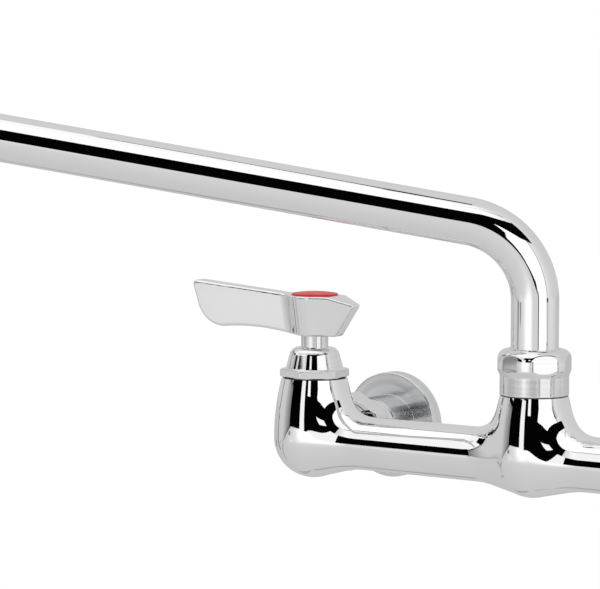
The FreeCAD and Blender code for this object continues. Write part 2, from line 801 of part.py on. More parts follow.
def spout_nut():
    """One nut: a turned skirt, and a domed crown with six flats milled into it."""
    skirt_top_z = boss_height + spout_nut_skirt_height
    round_centre = (spout_nut_crown_radius - spout_nut_top_round, nut_top_z - spout_nut_top_round)
    bottom = (spout_nut_skirt_radius, 0, boss_height)
    swell_low = (spout_nut_skirt_radius, 0, skirt_top_z)
    swell_middle = (spout_nut_skirt_radius + 0.75 * spout_nut_crown_swell, 0,
                    skirt_top_z + 0.4 * spout_nut_crown_foot)
    swell_high = (spout_nut_crown_radius, 0, skirt_top_z + spout_nut_crown_foot)
    axis_low = (0, 0, boss_height)
    axis_high = (0, 0, nut_top_z)
    shape = turned([line(axis_low, bottom), line(bottom, swell_low),
                    arc(swell_low, swell_middle, swell_high),
                    line(swell_high, swept_point(round_centre, spout_nut_top_round, 0)),
                    swept_arc(round_centre, spout_nut_top_round, 0, 90),
                    line(swept_point(round_centre, spout_nut_top_round, 90), axis_high),
                    line(axis_high, axis_low)])
    across_flats = 2 * (spout_nut_crown_radius - spout_nut_flat_depth)
    flats = hex_bar(across_flats, boss_height, nut_top_z, spout_nut_facing)
    thread = rod(spigot_radius + thread_clearance, boss_height - overrun, nut_lip_z)
    tube_hole = rod(tube_radius + spout_nut_tube_gap, boss_height, nut_top_z + overrun)
    return shape.common(flats).cut(thread.fuse(tube_hole))


# Outlet

def aerator_housing():
    """Cap screwed on the spout's end, which holds the insert against its washer."""
    shell = rod(aerator_radius, aerator_bottom_z, aerator_top_z)
    rims = [edge for edge in shell.Edges if isinstance(edge.Curve, Part.Circle)]
    shell = shell.makeFillet(aerator_edge_round, rims)
    thread = rod(tube_radius + thread_clearance, aerator_seat_z, aerator_top_z + overrun)
    mouth = rod(tube_radius - aerator_lip_width, aerator_bottom_z - overrun, aerator_top_z)
    return shell.cut(thread.fuse(mouth))


def aerator_insert():
    """Perforated disc that breaks up the stream: one hole in the middle and a ring of them."""
    circle = tube_radius - aerator_hole_inset
    holes = [rod(aerator_hole_radius, aerator_seat_z - overrun, aerator_insert_top_z + overrun)]
    for i in range(aerator_hole_count):
        hole = holes[0].copy()
        angle = 2 * math.pi * i / aerator_hole_count
        hole.translate(Vector(circle * math.cos(angle), circle * math.sin(angle), 0))
        holes.append(hole)
    return rod(tube_radius, aerator_seat_z, aerator_insert_top_z).cut(holes)


def aerator_washer():
    return ring(tube_radius, tube_radius - tube_wall, aerator_insert_top_z, spout_end_z)


os.makedirs("parts", exist_ok=True)

save("faucet_body", faucet_body())
for side_name, side in (("hot", HOT), ("cold", COLD)):
    save(side_name + "_inlet_flange", at_inlet(inlet_flange(), side))
    save(side_name + "_union_nut", at_inlet(union_nut(), side))
    save(side_name + "_snap_ring", at_inlet(snap_ring(), side))
    save(side_name + "_inlet_washer", at_inlet(inlet_washer(), side))
    save(side_name + "_seat_seal", at_valve(seat_seal(), side))
    save(side_name + "_fixed_disc", at_valve(ceramic_disc(fixed_disc_z, 0.0), side))
    save(side_name + "_rotating_disc", at_valve(rotating_disc(), side))
    save(side_name + "_cartridge_sleeve", at_valve(cartridge_sleeve(), side))
    save(side_name + "_stem", at_valve(stem(), side))
    save(side_name + "_stem_o_rings", at_valve(stem_o_rings(), side))
    save(side_name + "_stem_washer", at_valve(stem_washer(), side))
    save(side_name + "_bonnet", at_valve(bonnet(), side))
    save(side_name + "_bonnet_gasket", at_valve(bonnet_gasket(), side))
    save(side_name + "_lever_handle", at_valve(lever_handle(), side))
    save(side_name + "_index_button", at_valve(index_button(), side))
    save(side_name + "_handle_screw", at_valve(handle_screw(), side))

save("spout_tube", at_riser(spout_tube(), spout_rest_turn))
save("spout_ferrule", at_riser(spout_ferrule()))
save("swivel_o_rings", at_riser(swivel_o_rings()))
save("swivel_lower_washer", at_riser(swivel_washer(spigot_top_z)))
save("swivel_upper_washer", at_riser(swivel_washer(nut_lip_z - swivel_washer_thickness)))
save("spout_nut", at_riser(spout_nut()))
save("aerator_housing", at_outlet(aerator_housing()))
save("aerator_insert", at_outlet(aerator_insert()))
save("aerator_washer", at_outlet(aerator_washer()))
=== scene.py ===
import math

import bmesh
import bpy
import numpy as np
from mathutils import Matrix, Vector


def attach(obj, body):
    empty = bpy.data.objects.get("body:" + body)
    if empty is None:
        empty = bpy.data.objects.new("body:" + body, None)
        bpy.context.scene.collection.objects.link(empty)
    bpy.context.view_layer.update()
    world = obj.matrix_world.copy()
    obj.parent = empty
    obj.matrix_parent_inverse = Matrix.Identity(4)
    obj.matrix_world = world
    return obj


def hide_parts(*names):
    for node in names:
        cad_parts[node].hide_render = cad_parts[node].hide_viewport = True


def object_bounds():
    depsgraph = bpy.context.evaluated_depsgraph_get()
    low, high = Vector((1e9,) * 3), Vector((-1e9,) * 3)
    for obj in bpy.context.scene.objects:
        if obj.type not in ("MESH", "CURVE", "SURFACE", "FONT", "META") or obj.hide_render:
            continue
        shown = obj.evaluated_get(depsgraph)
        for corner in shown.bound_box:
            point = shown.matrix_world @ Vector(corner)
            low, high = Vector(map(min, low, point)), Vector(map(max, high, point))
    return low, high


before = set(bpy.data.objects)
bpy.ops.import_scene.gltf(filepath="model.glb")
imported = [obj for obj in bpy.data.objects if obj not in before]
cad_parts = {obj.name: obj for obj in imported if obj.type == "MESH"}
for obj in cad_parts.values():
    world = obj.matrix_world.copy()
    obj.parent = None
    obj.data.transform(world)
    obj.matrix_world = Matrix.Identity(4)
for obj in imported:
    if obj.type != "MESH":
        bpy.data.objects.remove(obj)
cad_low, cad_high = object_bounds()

# The photographer's view: the camera stands to the right of straight on, a little above the arm,
# and its lens is long. The angles, distance and lens were fitted to the photo's own points.
view_azimuth, view_elevation, view_roll = (math.radians(v) for v in (35.41, 4.99, 0.167))
view_distance = 1.2888
view_target = Vector((-0.1088, -0.060, 0.0569))
image_width = 600.0
focal_pixels = 3250.0
sensor_width = 36.0

look = Vector((-math.sin(view_azimuth) * math.cos(view_elevation),
               math.cos(view_azimuth) * math.cos(view_elevation), -math.sin(view_elevation)))
camera = bpy.data.objects.new("camera", bpy.data.cameras.new("camera"))
camera.data.sensor_width = sensor_width
camera.data.lens = sensor_width * focal_pixels / image_width
camera.data.clip_start, camera.data.clip_end = 0.05, 60.0
aim = look.to_track_quat("-Z", "Y").to_matrix() @ Matrix.Rotation(view_roll, 3, "Z")
camera.matrix_world = Matrix.Translation(view_target - view_distance * look) @ aim.to_4x4()
bpy.context.scene.collection.objects.link(camera)
bpy.context.scene.camera = camera
bpy.context.scene.view_settings.view_transform = "Standard"


# The set: a white room with a pale floor, and the boards that a photographer stands round chrome.
# The boards show only in reflections: a pale table and backdrop, a softbox overhead, white cards
# at the sides, and black flags in front that draw the dark bands along the metal.
room_light = 0.95
floor_drop = 0.30
floor_half_size = 40.0
floor_colour = (0.93, 0.93, 0.925, 1.0)
floor_lift = 0.125
board_distance = 6.0
board_layer = 0.1
board_step = 2.0
chrome_level = 0.93
black, white = 3, 262


def add_node(tree, kind, sources=(), **settings):
    """A node with these settings, and each named input a plain value or another node's output."""
    made = tree.nodes.new(tree.bl_idname.removesuffix("Tree") + kind)
    for name, value in settings.items():
        setattr(made, name, value)
    for label, source in dict(sources).items():
        if isinstance(source, bpy.types.NodeSocket):
            tree.links.new(source, made.inputs[label])
        else:
            made.inputs[label].default_value = source
    return made


def emptied(owner):
    """A material or a world with an empty node tree."""
    owner.use_nodes = True
    owner.node_tree.nodes.clear()
    return owner, owner.node_tree


def link_mesh(name, mesh):
    piece = bpy.data.objects.new(name, mesh)
    bpy.context.scene.collection.objects.link(piece)
    return piece


def directly_seen(tree):
    """1 for rays from the camera, from gloss and through glass."""
    rays = add_node(tree, "LightPath").outputs
    total = rays["Is Camera Ray"]
    for ray in ("Is Glossy Ray", "Is Transmission Ray"):
        total = add_node(tree, "Math", {0: total, 1: rays[ray]}, operation="ADD", use_clamp=True).outputs[0]
    return total


def white_room():
    """A white world, a little dimmer as a light than as a background."""
    bpy.context.scene.world, tree = emptied(bpy.data.worlds.new("white_room"))
    lamp, seen = (add_node(tree, "Background", {"Color": (1, 1, 1, 1), "Strength": strength}).outputs[0]
                  for strength in (room_light, 1.0))
    mixed = add_node(tree, "MixShader", {"Fac": directly_seen(tree), 1: lamp, 2: seen})
    add_node(tree, "OutputWorld", {"Surface": mixed.outputs[0]})


def pale_floor():
    material, tree = emptied(bpy.data.materials.new("floor"))
    paint = add_node(tree, "BsdfDiffuse", {"Color": floor_colour})
    lift = add_node(tree, "Emission", {"Color": (floor_lift, floor_lift, floor_lift, 1),
                                       "Strength": directly_seen(tree)})
    both = add_node(tree, "AddShader", {0: paint.outputs[0], 1: lift.outputs[0]})
    add_node(tree, "OutputMaterial", {"Surface": both.outputs[0]})
    level = cad_low.z - floor_drop
    mesh = bpy.data.meshes.new("floor")
    corners = [(-1, -1), (1, -1), (1, 1), (-1, 1)]
    mesh.from_pydata([(x * floor_half_size, y * floor_half_size, level) for x, y in corners],
                     [], [(0, 1, 2, 3)])
    mesh.materials.append(material)
    floor = link_mesh("floor", mesh)
    floor.visible_glossy = False


def as_reflected(shade):
    """Light that chrome shows as this shade, 0 to 255, in a picture with the usual tone curve."""
    level = np.clip(shade, 0, white) / 255
    return np.where(level > 0.04, ((level + 0.055) / 1.055) ** 2.4, level / 12.92) / chrome_level


def board(name, azimuths, elevations, layer, shade, slants=(0, 0)):
    """A board curved round the object between two azimuths and two elevations, in degrees.

    Azimuth 0 is straight out from the wall and +90 to the right. A higher layer stands in front.
    The shade is one number, or a function of azimuth and elevation. Slants are the rise of the
    lower and the upper edge for each degree to the right."""
    rows, columns = (max(2, round((span[1] - span[0]) / board_step) + 1) for span in (elevations, azimuths))
    share, az = (g.ravel() for g in np.meshgrid(np.linspace(0, 1, rows), np.linspace(*azimuths, columns),
                                                indexing="ij"))
    edges = [start + slant * (az - azimuths[0]) for start, slant in zip(elevations, slants)]
    el = edges[0] + share * (edges[1] - edges[0])
    level = np.cos(np.radians(el))
    rays = np.stack([np.sin(np.radians(az)) * level, -np.cos(np.radians(az)) * level,
                     np.sin(np.radians(el))], 1)
    points = np.array((cad_low + cad_high) / 2) + (board_distance - board_layer * layer) * rays
    faces = [(i * columns + j, i * columns + j + 1, (i + 1) * columns + j + 1, (i + 1) * columns + j)
             for i in range(rows - 1) for j in range(columns - 1)]
    mesh = bpy.data.meshes.new(name)
    mesh.from_pydata(points.tolist(), [], faces)
    glow = mesh.attributes.new("glow", "FLOAT", "POINT")
    glow.data.foreach_set("value", as_reflected(shade(az, el) if callable(shade) else shade + 0 * az))
    material, tree = emptied(bpy.data.materials.new(name))
    strength = add_node(tree, "Attribute", attribute_name="glow")
    light = add_node(tree, "Emission", {"Strength": strength.outputs["Fac"]})
    add_node(tree, "OutputMaterial", {"Surface": light.outputs[0]})
    mesh.materials.append(material)
    piece = link_mesh(name, mesh)
    piece.visible_camera = piece.visible_diffuse = piece.visible_shadow = False
    piece.visible_transmission = False


def bump(value, middle, width):
    return np.exp(-((value - middle) / width) ** 2)


def table_shade(az, el):
    """Pale grey, lighter to the right of a slanting edge and bright where the softbox lights it."""
    side = 200 + 12 * np.cos(np.radians(az - 30)) * np.cos(np.radians(el)) ** 2
    past_edge = np.clip((az + 46 - 1.5 * (el + 3)) / 6, 0, 1) * np.clip((26 - az) / 14, 0, 1)
    pool = 36 * bump(az, 0, 20) * bump(el, -4, 8) + 34 * bump(az, 0, 19) * bump(el, -5, 3.5)
    patches = 18 * bump(az, -36, 6) * bump(el, -8.5, 2) + 20 * bump(az, 118, 30) * bump(el, -4, 7)
    return side + past_edge * (5 * bump(el, -3, 12) + pool) + patches


def left_shade(az, el):
    """Pale, and darker towards its right, top and slanting bottom edges."""
    above_edge = el + 3.5 - 0.22 * (az + 42)
    return np.minimum(203, 3.2 * (-az - 4)) - 18 * np.maximum(el - 11.5, 0) - 38 * bump(above_edge, 0, 1.5)


def high_shade(az, el):
    return 252 - 1.9 * np.maximum(az + 22, 0)


def back_shade(az, el):
    return 203 + 26 * np.exp(-np.maximum(az - 98, 0) / 20) + 6 * bump(el, 60, 25)


white_room()
pale_floor()
board("table_board", (-180, 180), (-90, -2), 0, table_shade)
board("back_board", (93, 268), (-2, 90), 0, back_shade)
board("left_board", (-92, -38), (-14.5, 16), 1, left_shade, (0.22, 0))
board("flag_left", (-42, -9), (-2.3, 18.2), 2, black, (0, 0.1))
board("flag_far_left", (-87, -71), (13, 27), 2, black)
board("flag_left_top", (-62, -42), (13.5, 15.5), 2, black)
board("flag_middle", (-9, 4), (21, 43), 2, black)
board("flag_right", (4, 47), (-3.2, 42.5), 2, black, (0, 0.07))
board("flag_far_right", (47, 90), (26.5, 46.5), 2, black, (0.17, 0.14))
board("flag_back_right", (89.5, 112), (33.6, 52), 2, black)
board("card_strip", (-9, 4), (-3, 23), 1, 246)
board("card_high", (-30, -3), (20.5, 44.5), 3, high_shade)
board("card_spot", (13, 21.5), (14, 24), 3, 252)
board("card_right", (46, 90.5), (-8, 44), 1, white)
board("card_right_low", (38, 51), (-0.7, 5), 3, white, (0, 1.4))
board("softbox", (-96, 76), (46, 80), 1, white)
board("softbox_top", (-180, 180), (80, 90), 1, 253)
board("rim_right", (90.5, 93), (-8, 33.4), 3, 120)
board("rim_left", (-93, -89.5), (-22, 20), 3, 100)
board("rim_left_low", (-92, -68), (-39, -34), 3, 165, (0.96, 0.96))
board("rim_left_high", (-70, -50), (32.5, 34.5), 3, 90, (0.4, 0.4))
board("rim_softbox_left", (-99, -96), (44, 66), 3, 95)
board("rim_softbox_back", (110, 205), (79.6, 82.2), 3, 25)
board("rim_softbox_right", (58, 112), (69, 70.6), 3, 100, (-0.2, -0.2))
board("rim_softbox_front", (-60, -18), (44.5, 46.5), 3, 140)
board("rim_card_right", (46.5, 51), (-9, -2.5), 3, 60)
board("rim_table_front", (-45, -38.5), (-5.9, -4.4), 3, 130)
board("rim_table_left", (-110, -105), (-15, -9), 3, 120)
board("rim_table_back", (-131, -120), (-72, -45), 3, 168)


# Faucet body: one brass casting with three bosses on an arm and a port behind each end boss. It
# is ground and polished by hand until the bosses flow into the arm, then nickel and chrome plated.
half_centres = 0.1016
wall_standoff = 0.060
boss_top = 0.0244
boss_top_radius = 0.0130
ball_radius = 0.0160
ball_lift = {-half_centres: 0.0006, 0.0: 0.0014, half_centres: 0.0006}
arm_radius = 0.0105
arm_blend = 0.0120
port_radius = 0.0118
port_face = -0.0364
port_blend = 0.0030
port_bore, thread_radius = 0.0060, 0.0110
thread_back, thread_front = 0.0305, 0.0400
nut_gap = 0.00035
spigot_radius, spigot_bore = 0.0112, 0.0095
spigot_foot, spigot_top = 0.0100, 0.0321
body_cell = 0.00085
probe_step = 1e-5
chrome_colour = (0.925, 0.926, 0.930, 1.0)
inlets = {"hot": (-half_centres, 0.0, 0.0), "cold": (half_centres, 0.0, 0.0)}
valves = {"hot": (-half_centres, -wall_standoff, 0.0), "cold": (half_centres, -wall_standoff, 0.0)}
riser_place = (0.0, -wall_standoff, 0.0)


def slope_of(field, points):
    """Gradient of a distance field by central differences."""
    slope = np.empty_like(points)
    for axis in range(3):
        step = np.zeros(3)
        step[axis] = probe_step
        slope[:, axis] = (field(*(points + step).T) - field(*(points - step).T)) / (2 * probe_step)
    return slope


def level_quads(solid, active):
    """Quads between the cells round every grid edge that crosses the surface."""
    number = np.full(np.array(solid.shape) - 1, -1)
    number[tuple(active.T)] = np.arange(len(active))
    quads = []
    for axis in range(3):
        side, rise = np.eye(3, dtype=int)[[(axis + 1) % 3, (axis + 2) % 3]]
        first = np.moveaxis(solid, axis, 0)
        at = np.argwhere(np.moveaxis(first[:-1] != first[1:], 0, axis))
        at = at[np.all((at > 0) | (np.arange(3) == axis), 1) & np.all(at < number.shape, 1)]
        ring = np.stack([number[tuple((at - back).T)] for back in (0 * side, side, side + rise, rise)], 1)
        quads.append(np.where(solid[tuple(at.T)][:, None], ring, ring[:, ::-1]))
    return np.concatenate(quads)


def skin(field, low, high, cell):
    """A distance field's zero level as a form: its points, its quads and their corners' normals."""
    axes = [np.arange(a, b + cell, cell) for a, b in zip(low, high)]
    grid = field(*np.meshgrid(*axes, indexing="ij"))
    solid = grid < 0
    corners = np.array([(i, j, k) for i in (0, 1) for j in (0, 1) for k in (0, 1)])
    size = np.array(grid.shape) - 1
    count = sum(solid[i:i + size[0], j:j + size[1], k:k + size[2]].astype(np.int8) for i, j, k in corners)
    active = np.argwhere((count > 0) & (count < 8))
    values = np.stack([grid[tuple((active + corner).T)] for corner in corners], 1)
    total, hits = np.zeros((len(active), 3)), np.zeros((len(active), 1))
    for a in range(8):
        for b in range(a + 1, 8):
            if np.abs(corners[a] - corners[b]).sum() == 1:
                cross = (values[:, a] < 0) != (values[:, b] < 0)
                share = np.where(cross, values[:, a] / np.where(cross, values[:, a] - values[:, b], 1), 0)
                total += cross[:, None] * (corners[a] + share[:, None] * (corners[b] - corners[a]))
                hits += cross[:, None]
    points = np.array(low) + cell * (active + total / hits)
    for _ in range(4):
        slope = slope_of(field, points)
        move = field(*points.T)[:, None] * slope / np.maximum((slope ** 2).sum(1), 0.1)[:, None]
        points -= np.clip(move, -cell, cell)
    normals = slope_of(field, points)
    normals /= np.linalg.norm(normals, axis=1)[:, None]
    quads = level_quads(solid, active)
    return points, quads.tolist(), normals[quads.ravel()]


def outline_bends(corners):
    """Points round a closed outline, each with its normals before and after.

    Each corner is a radius, a height and the size of its round. The outline runs with the metal
    on its left."""
    bends = []
    for i, (radius, height, curve) in enumerate(corners):
        here = np.array([radius, height])
        before = here - corners[i - 1][:2]
        after = np.array(corners[(i + 1) % len(corners)][:2]) - here
        before, after = before / np.linalg.norm(before), after / np.linalg.norm(after)
        outward = np.array([before[1], -before[0]])
        if curve == 0:
            bends.append((here, outward, np.array([after[1], -after[0]])))
            continue
        turn = math.atan2(before[0] * after[1] - before[1] * after[0], before @ after)
        bow = math.copysign(curve, turn)
        centre = here - curve * math.tan(abs(turn) / 2) * before - bow * outward
        steps = max(3, round(abs(turn) / math.radians(12)))
        for k in range(steps + 1):
            c, s = math.cos(turn * k / steps), math.sin(turn * k / steps)
            normal = np.array([c * outward[0] - s * outward[1], s * outward[0] + c * outward[1]])
            bends.append((centre + bow * normal, normal, normal))
    return bends


def turned(corners, sides=112):
    """A closed outline turned about the Z axis: points, faces and their corners' normals."""
    bends = outline_bends(corners)
    angles = [2 * math.pi * j / sides for j in range(sides)]
    points = [(radius * math.cos(a), radius * math.sin(a), height)
              for (radius, height), _, _ in bends for a in angles]
    faces, normals = [], []
    for i, (_, _, leaving) in enumerate(bends):
        k = (i + 1) % len(bends)
        _, arriving, _ = bends[k]
        for j in range(sides):
            n = (j + 1) % sides
            faces.append([i * sides + j, i * sides + n, k * sides + n, k * sides + j])
            normals.extend((u[0] * math.cos(angles[m]), u[0] * math.sin(angles[m]), u[1])
                           for u, m in ((leaving, j), (leaving, n), (arriving, n), (arriving, j)))
    return np.array(points), faces, np.array(normals)


def joined(*forms):
    """Several forms as one."""
    points, faces, normals = [], [], []
    for form in forms:
        start = sum(len(part) for part in points)
        points.append(form[0])
        faces.extend([corner + start for corner in face] for face in form[1])
        normals.append(form[2])
    return np.concatenate(points), faces, np.concatenate(normals)


def turn_matrix(turn):
    """Right-hand factor that turns rows of points about Z."""
    c, s = math.cos(turn), math.sin(turn)
    return np.array([[c, s, 0], [-s, c, 0], [0, 0, 1]])


out_of_wall = np.array([[1, 0, 0], [0, 0, 1], [0, -1, 0]])


def form_mesh(name, form, material):
    points, faces, normals = form
    mesh = bpy.data.meshes.new(name)
    mesh.from_pydata(points.tolist(), [], faces)
    mesh.shade_smooth()
    mesh.normals_split_custom_set(normals.tolist())
    mesh.materials.append(material)
    return mesh


def add_piece(name, mesh, body):
    piece = link_mesh(name, mesh)
    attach(piece, body)
    return piece


def moved(form, shift, turning=np.eye(3)):
    """A form turned about the origin and then shifted."""
    return form[0] @ turning + np.array(shift), form[1], form[2] @ turning


def place(node, body, material, form):
    """Put a finished form where its plain node is."""
    piece = add_piece(node + "_finished", form_mesh(node, form, material), body)
    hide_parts(node)


def melt(a, b, reach):
    """Join two distances with a hand-polished hollow where they meet."""
    near = np.maximum(reach - np.abs(a - b), 0) / np.maximum(reach, 1e-9)
    return np.minimum(a, b) - near * near * reach / 4


def rounded_common(distances, edge):
    """What lies inside every distance, with its outer edges rounded."""
    inside = np.minimum(np.maximum.reduce(distances), -edge)
    return inside + np.sqrt(sum(np.maximum(d + edge, 0) ** 2 for d in distances))


def start_group(name, *sizes):
    """A shader node group that takes a place on the piece and these sizes, and puts out a finish."""
    tree = bpy.data.node_groups.new(name, "ShaderNodeTree")
    tree.interface.new_socket("Vector", in_out="INPUT", socket_type="NodeSocketVector")
    for way, labels in (("INPUT", sizes), ("OUTPUT", ("roughness", "height", "tint"))):
        for label in labels:
            tree.interface.new_socket(label, in_out=way, socket_type="NodeSocketFloat")
    return tree, tree.nodes.new("NodeGroupInput").outputs


def calculated(tree, operation, *values):
    return add_node(tree, "Math", dict(enumerate(values)), operation=operation).outputs[0]


def end_group(tree, roughness, height, cloud, darkening):
    """Put out a group's roughness, its height, and a tint that is darker where its cloud is high."""
    tint = calculated(tree, "SUBTRACT", 1.0, calculated(tree, "MULTIPLY", cloud, darkening))
    end = tree.nodes.new("NodeGroupOutput")
    for label, result in (("roughness", roughness), ("height", height), ("tint", tint)):
        tree.links.new(result, end.inputs[label])
    return tree


def noise(tree, where, scale, detail):
    return add_node(tree, "TexNoise", {"Vector": where, "Scale": scale, "Detail": detail}).outputs["Fac"]


def polish_group(clouds=38.0, grains=2600.0, grain_share=0.004, darkening=0.05):
    """Hand polish: slow ripples from the wheel, faint haze in clouds, and a trace of grain."""
    tree, given = start_group("hand_polish", "roughness", "haze", "ripple")
    ripple = noise(tree, given["Vector"], calculated(tree, "DIVIDE", 1.0, given["ripple"]), 1.0)
    cloud = noise(tree, given["Vector"], clouds, 4.0)
    grain = noise(tree, given["Vector"], grains, 1.0)
    haze = calculated(tree, "MULTIPLY", calculated(tree, "POWER", cloud, 3.0), given["haze"])
    rough = calculated(tree, "ADD", given["roughness"], haze)
    rough = calculated(tree, "ADD", rough, calculated(tree, "MULTIPLY", grain, grain_share))
    return end_group(tree, rough, ripple, cloud, darkening)


hand_polish = polish_group()


def start_material(name, constants=()):
    """A material, its node tree, its shader with these constants, and the place on the piece."""
    material, tree = emptied(bpy.data.materials.new(name))
    shader = add_node(tree, "BsdfPrincipled", {"Metallic": 1.0, **dict(constants)})
    add_node(tree, "OutputMaterial", {"Surface": shader.outputs[0]})
    return material, tree, shader, add_node(tree, "TexCoord").outputs["Object"]


def finished_by(tree, group, where, **sizes):
    return add_node(tree, "Group", {"Vector": where, **sizes}, node_tree=group).outputs


def dress(tree, shader, colour, tint, roughness, height, depth):
    """Feed a shader with a tinted colour, a roughness and a relief of this depth."""
    mixed = add_node(tree, "Mix", {"Factor": 1.0, "A": colour, "B": tint}, data_type="RGBA",
                     blend_type="MULTIPLY")
    relief = add_node(tree, "Bump", {"Strength": 1.0, "Distance": depth, "Height": height})
    tree.links.new(mixed.outputs["Result"], shader.inputs["Base Color"])
    tree.links.new(roughness, shader.inputs["Roughness"])
    tree.links.new(relief.outputs["Normal"], shader.inputs["Normal"])


def polished_chrome(name, colour=chrome_colour, roughness=0.02, haze=0.03, ripple=0.012, depth=1.2e-5):
    material, tree, metal, where = start_material(name)
    polish = finished_by(tree, hand_polish, where, roughness=roughness, haze=haze, ripple=ripple)
    dress(tree, metal, colour, polish["tint"], polish["roughness"], polish["height"], depth)
    return material


def ring_distance(x, y):
    return np.maximum(np.sqrt(x * x + y * y), 1e-9)


def boss_form(x, y, z, centre):
    """Distance to one boss, and its slope: a long arc for the neck above a ball."""
    lift = ball_lift[centre]
    neck_flare = ball_radius - boss_top_radius
    neck_radius = ((boss_top - lift) ** 2 + neck_flare ** 2) / (2 * neck_flare)
    out = ring_distance(x - centre, y + wall_standoff)
    inset = np.where(z > lift, out - (ball_radius - neck_radius), out)
    reach = ring_distance(inset, z - lift)
    flat = inset / reach / out
    slope = flat * (x - centre), flat * (y + wall_standoff), (z - lift) / reach
    return reach - np.where(z > lift, neck_radius, ball_radius), slope


def sine_between(a, b):
    cosine = sum(p * q for p, q in zip(a, b))
    return np.where(cosine > 0, np.sqrt(np.maximum(1 - cosine ** 2, 0)), 1.0)


def body_field(x, y, z):
    """Distance to the casting; each blend is as broad as the angle between the forms it joins."""
    boss, boss_slope = boss_form(x, y, z, 0.0)
    for centre in (-half_centres, half_centres):
        distance, slope = boss_form(x, y, z, centre)
        nearer = distance < boss
        boss = np.where(nearer, distance, boss)
        boss_slope = [np.where(nearer, new, old) for new, old in zip(slope, boss_slope)]
    around = ring_distance(y + wall_standoff, z)
    arm = np.maximum(around - arm_radius, np.abs(x) - half_centres)
    arm_slope = (0 * x, (y + wall_standoff) / around, z / around)
    beside = np.abs(x) - half_centres
    port_reach = ring_distance(beside, z)
    port = np.maximum(port_reach - port_radius, -wall_standoff - y)
    port_slope = (beside * np.sign(x) / port_reach, 0 * y, z / port_reach)
    casting = melt(boss, arm, arm_blend * sine_between(boss_slope, arm_slope))
    return melt(casting, port, port_blend * sine_between(boss_slope, port_slope))


def cut_square(mesh, cuts):
    """Cut a mesh off square at planes and close it with flat faces."""
    shape = bmesh.new()
    shape.from_mesh(mesh)
    for point, outward in cuts:
        found = bmesh.ops.bisect_plane(shape, geom=shape.verts[:] + shape.edges[:] + shape.faces[:],
                                       plane_co=point, plane_no=outward, clear_outer=True)
        rim = [part for part in found["geom_cut"] if isinstance(part, bmesh.types.BMEdge)]
        bmesh.ops.holes_fill(shape, edges=rim, sides=0)
    shape.to_mesh(mesh)
    shape.free()


def cut_form(field, mesh, cuts):
    """The cut mesh as a form, with flat normals on its cut faces."""
    points = np.array([corner.co for corner in mesh.vertices])
    slopes = slope_of(field, points)
    slopes /= np.linalg.norm(slopes, axis=1)[:, None]
    faces, normals = [], []
    for face in mesh.polygons:
        faces.append(list(face.vertices))
        flat = any(abs(face.normal.dot(outward)) > 0.99999 and
                   abs((face.center - Vector(point)).dot(outward)) < 1e-6 for point, outward in cuts)
        normals.extend([tuple(face.normal)] * len(faces[-1]) if flat else slopes[faces[-1]].tolist())
    return points, faces, np.array(normals)


def body_piece():
    margin = 2 * body_cell
    low = (-half_centres - ball_radius - margin, -wall_standoff - ball_radius - margin,
           -ball_radius - margin)
    high = (half_centres + ball_radius + margin, port_face + margin, boss_top + margin)
    points, quads, _ = skin(body_field, low, high, body_cell)
    rough = bpy.data.meshes.new("body_blank")
    rough.from_pydata(points.tolist(), [], quads)
    cuts = [(Vector((0, 0, boss_top)), Vector((0, 0, 1))), (Vector((0, port_face, 0)), Vector((0, 1, 0)))]
    cut_square(rough, cuts)
    casting = cut_form(body_field, rough, cuts)
    bpy.data.meshes.remove(rough)
    spigot = turned([(spigot_bore, spigot_foot, 0), (spigot_radius, spigot_foot, 0),
                     (spigot_radius, spigot_top, 3e-4), (spigot_bore, spigot_top, 3e-4)])
    thread = turned([(port_bore, thread_back, 0), (thread_radius, thread_back, 5e-4),
                     (thread_radius, thread_front, 0), (port_bore, thread_front, 0)])
    threads = [moved(thread, inlet, out_of_wall) for inlet in inlets.values()]
    place("faucet_body", "faucet", polished_chrome("cast_chrome"),
          joined(casting, moved(spigot, riser_place), *threads))


body_piece()


# Inlet flanges: each is turned from brass bar, a wide disc against the wall with a hub in front
# and a tailpiece inside the union nut. The pipe thread is cut from the back. It is chrome plated
# over the marks of the lathe, so the face throws its light out in spokes.
flange_radius, flange_thickness = 0.0215, 0.0066
hub_radius, hub_front = 0.0124, 0.0205
tail_radius, tail_front, tail_bore = 0.0084, 0.0285, 0.0060
groove_radius, groove_back, groove_front = 0.0076, 0.0242, 0.0253
pipe_thread_pitch, pipe_thread_turns = 0.001814, 8.0
pipe_thread_mouth, pipe_thread_root, pipe_thread_depth = 0.0108, 0.0103, 0.0170
pipe_thread_inset = 0.0012
ridge_mouth_radius, ridge_deep_radius, ridge_size = 0.01005, 0.0098, 0.0008
flange_colour = (0.86, 0.87, 0.88, 1.0)
flange_outline = [(pipe_thread_mouth, 0, 0), (flange_radius, 0, 4e-4),
                  (flange_radius, flange_thickness, 6e-4), (hub_radius, flange_thickness, 2e-4),
                  (hub_radius, hub_front, 5e-4), (tail_radius, hub_front, 2e-4),
                  (tail_radius, groove_back, 0), (groove_radius, groove_back, 0),
                  (groove_radius, groove_front, 0), (tail_radius, groove_front, 0),
                  (tail_radius, tail_front, 3e-4), (tail_bore, tail_front, 0),
                  (tail_bore, pipe_thread_depth, 0), (pipe_thread_root, pipe_thread_depth, 3e-4),
                  (pipe_thread_root, pipe_thread_mouth - pipe_thread_root, 0)]


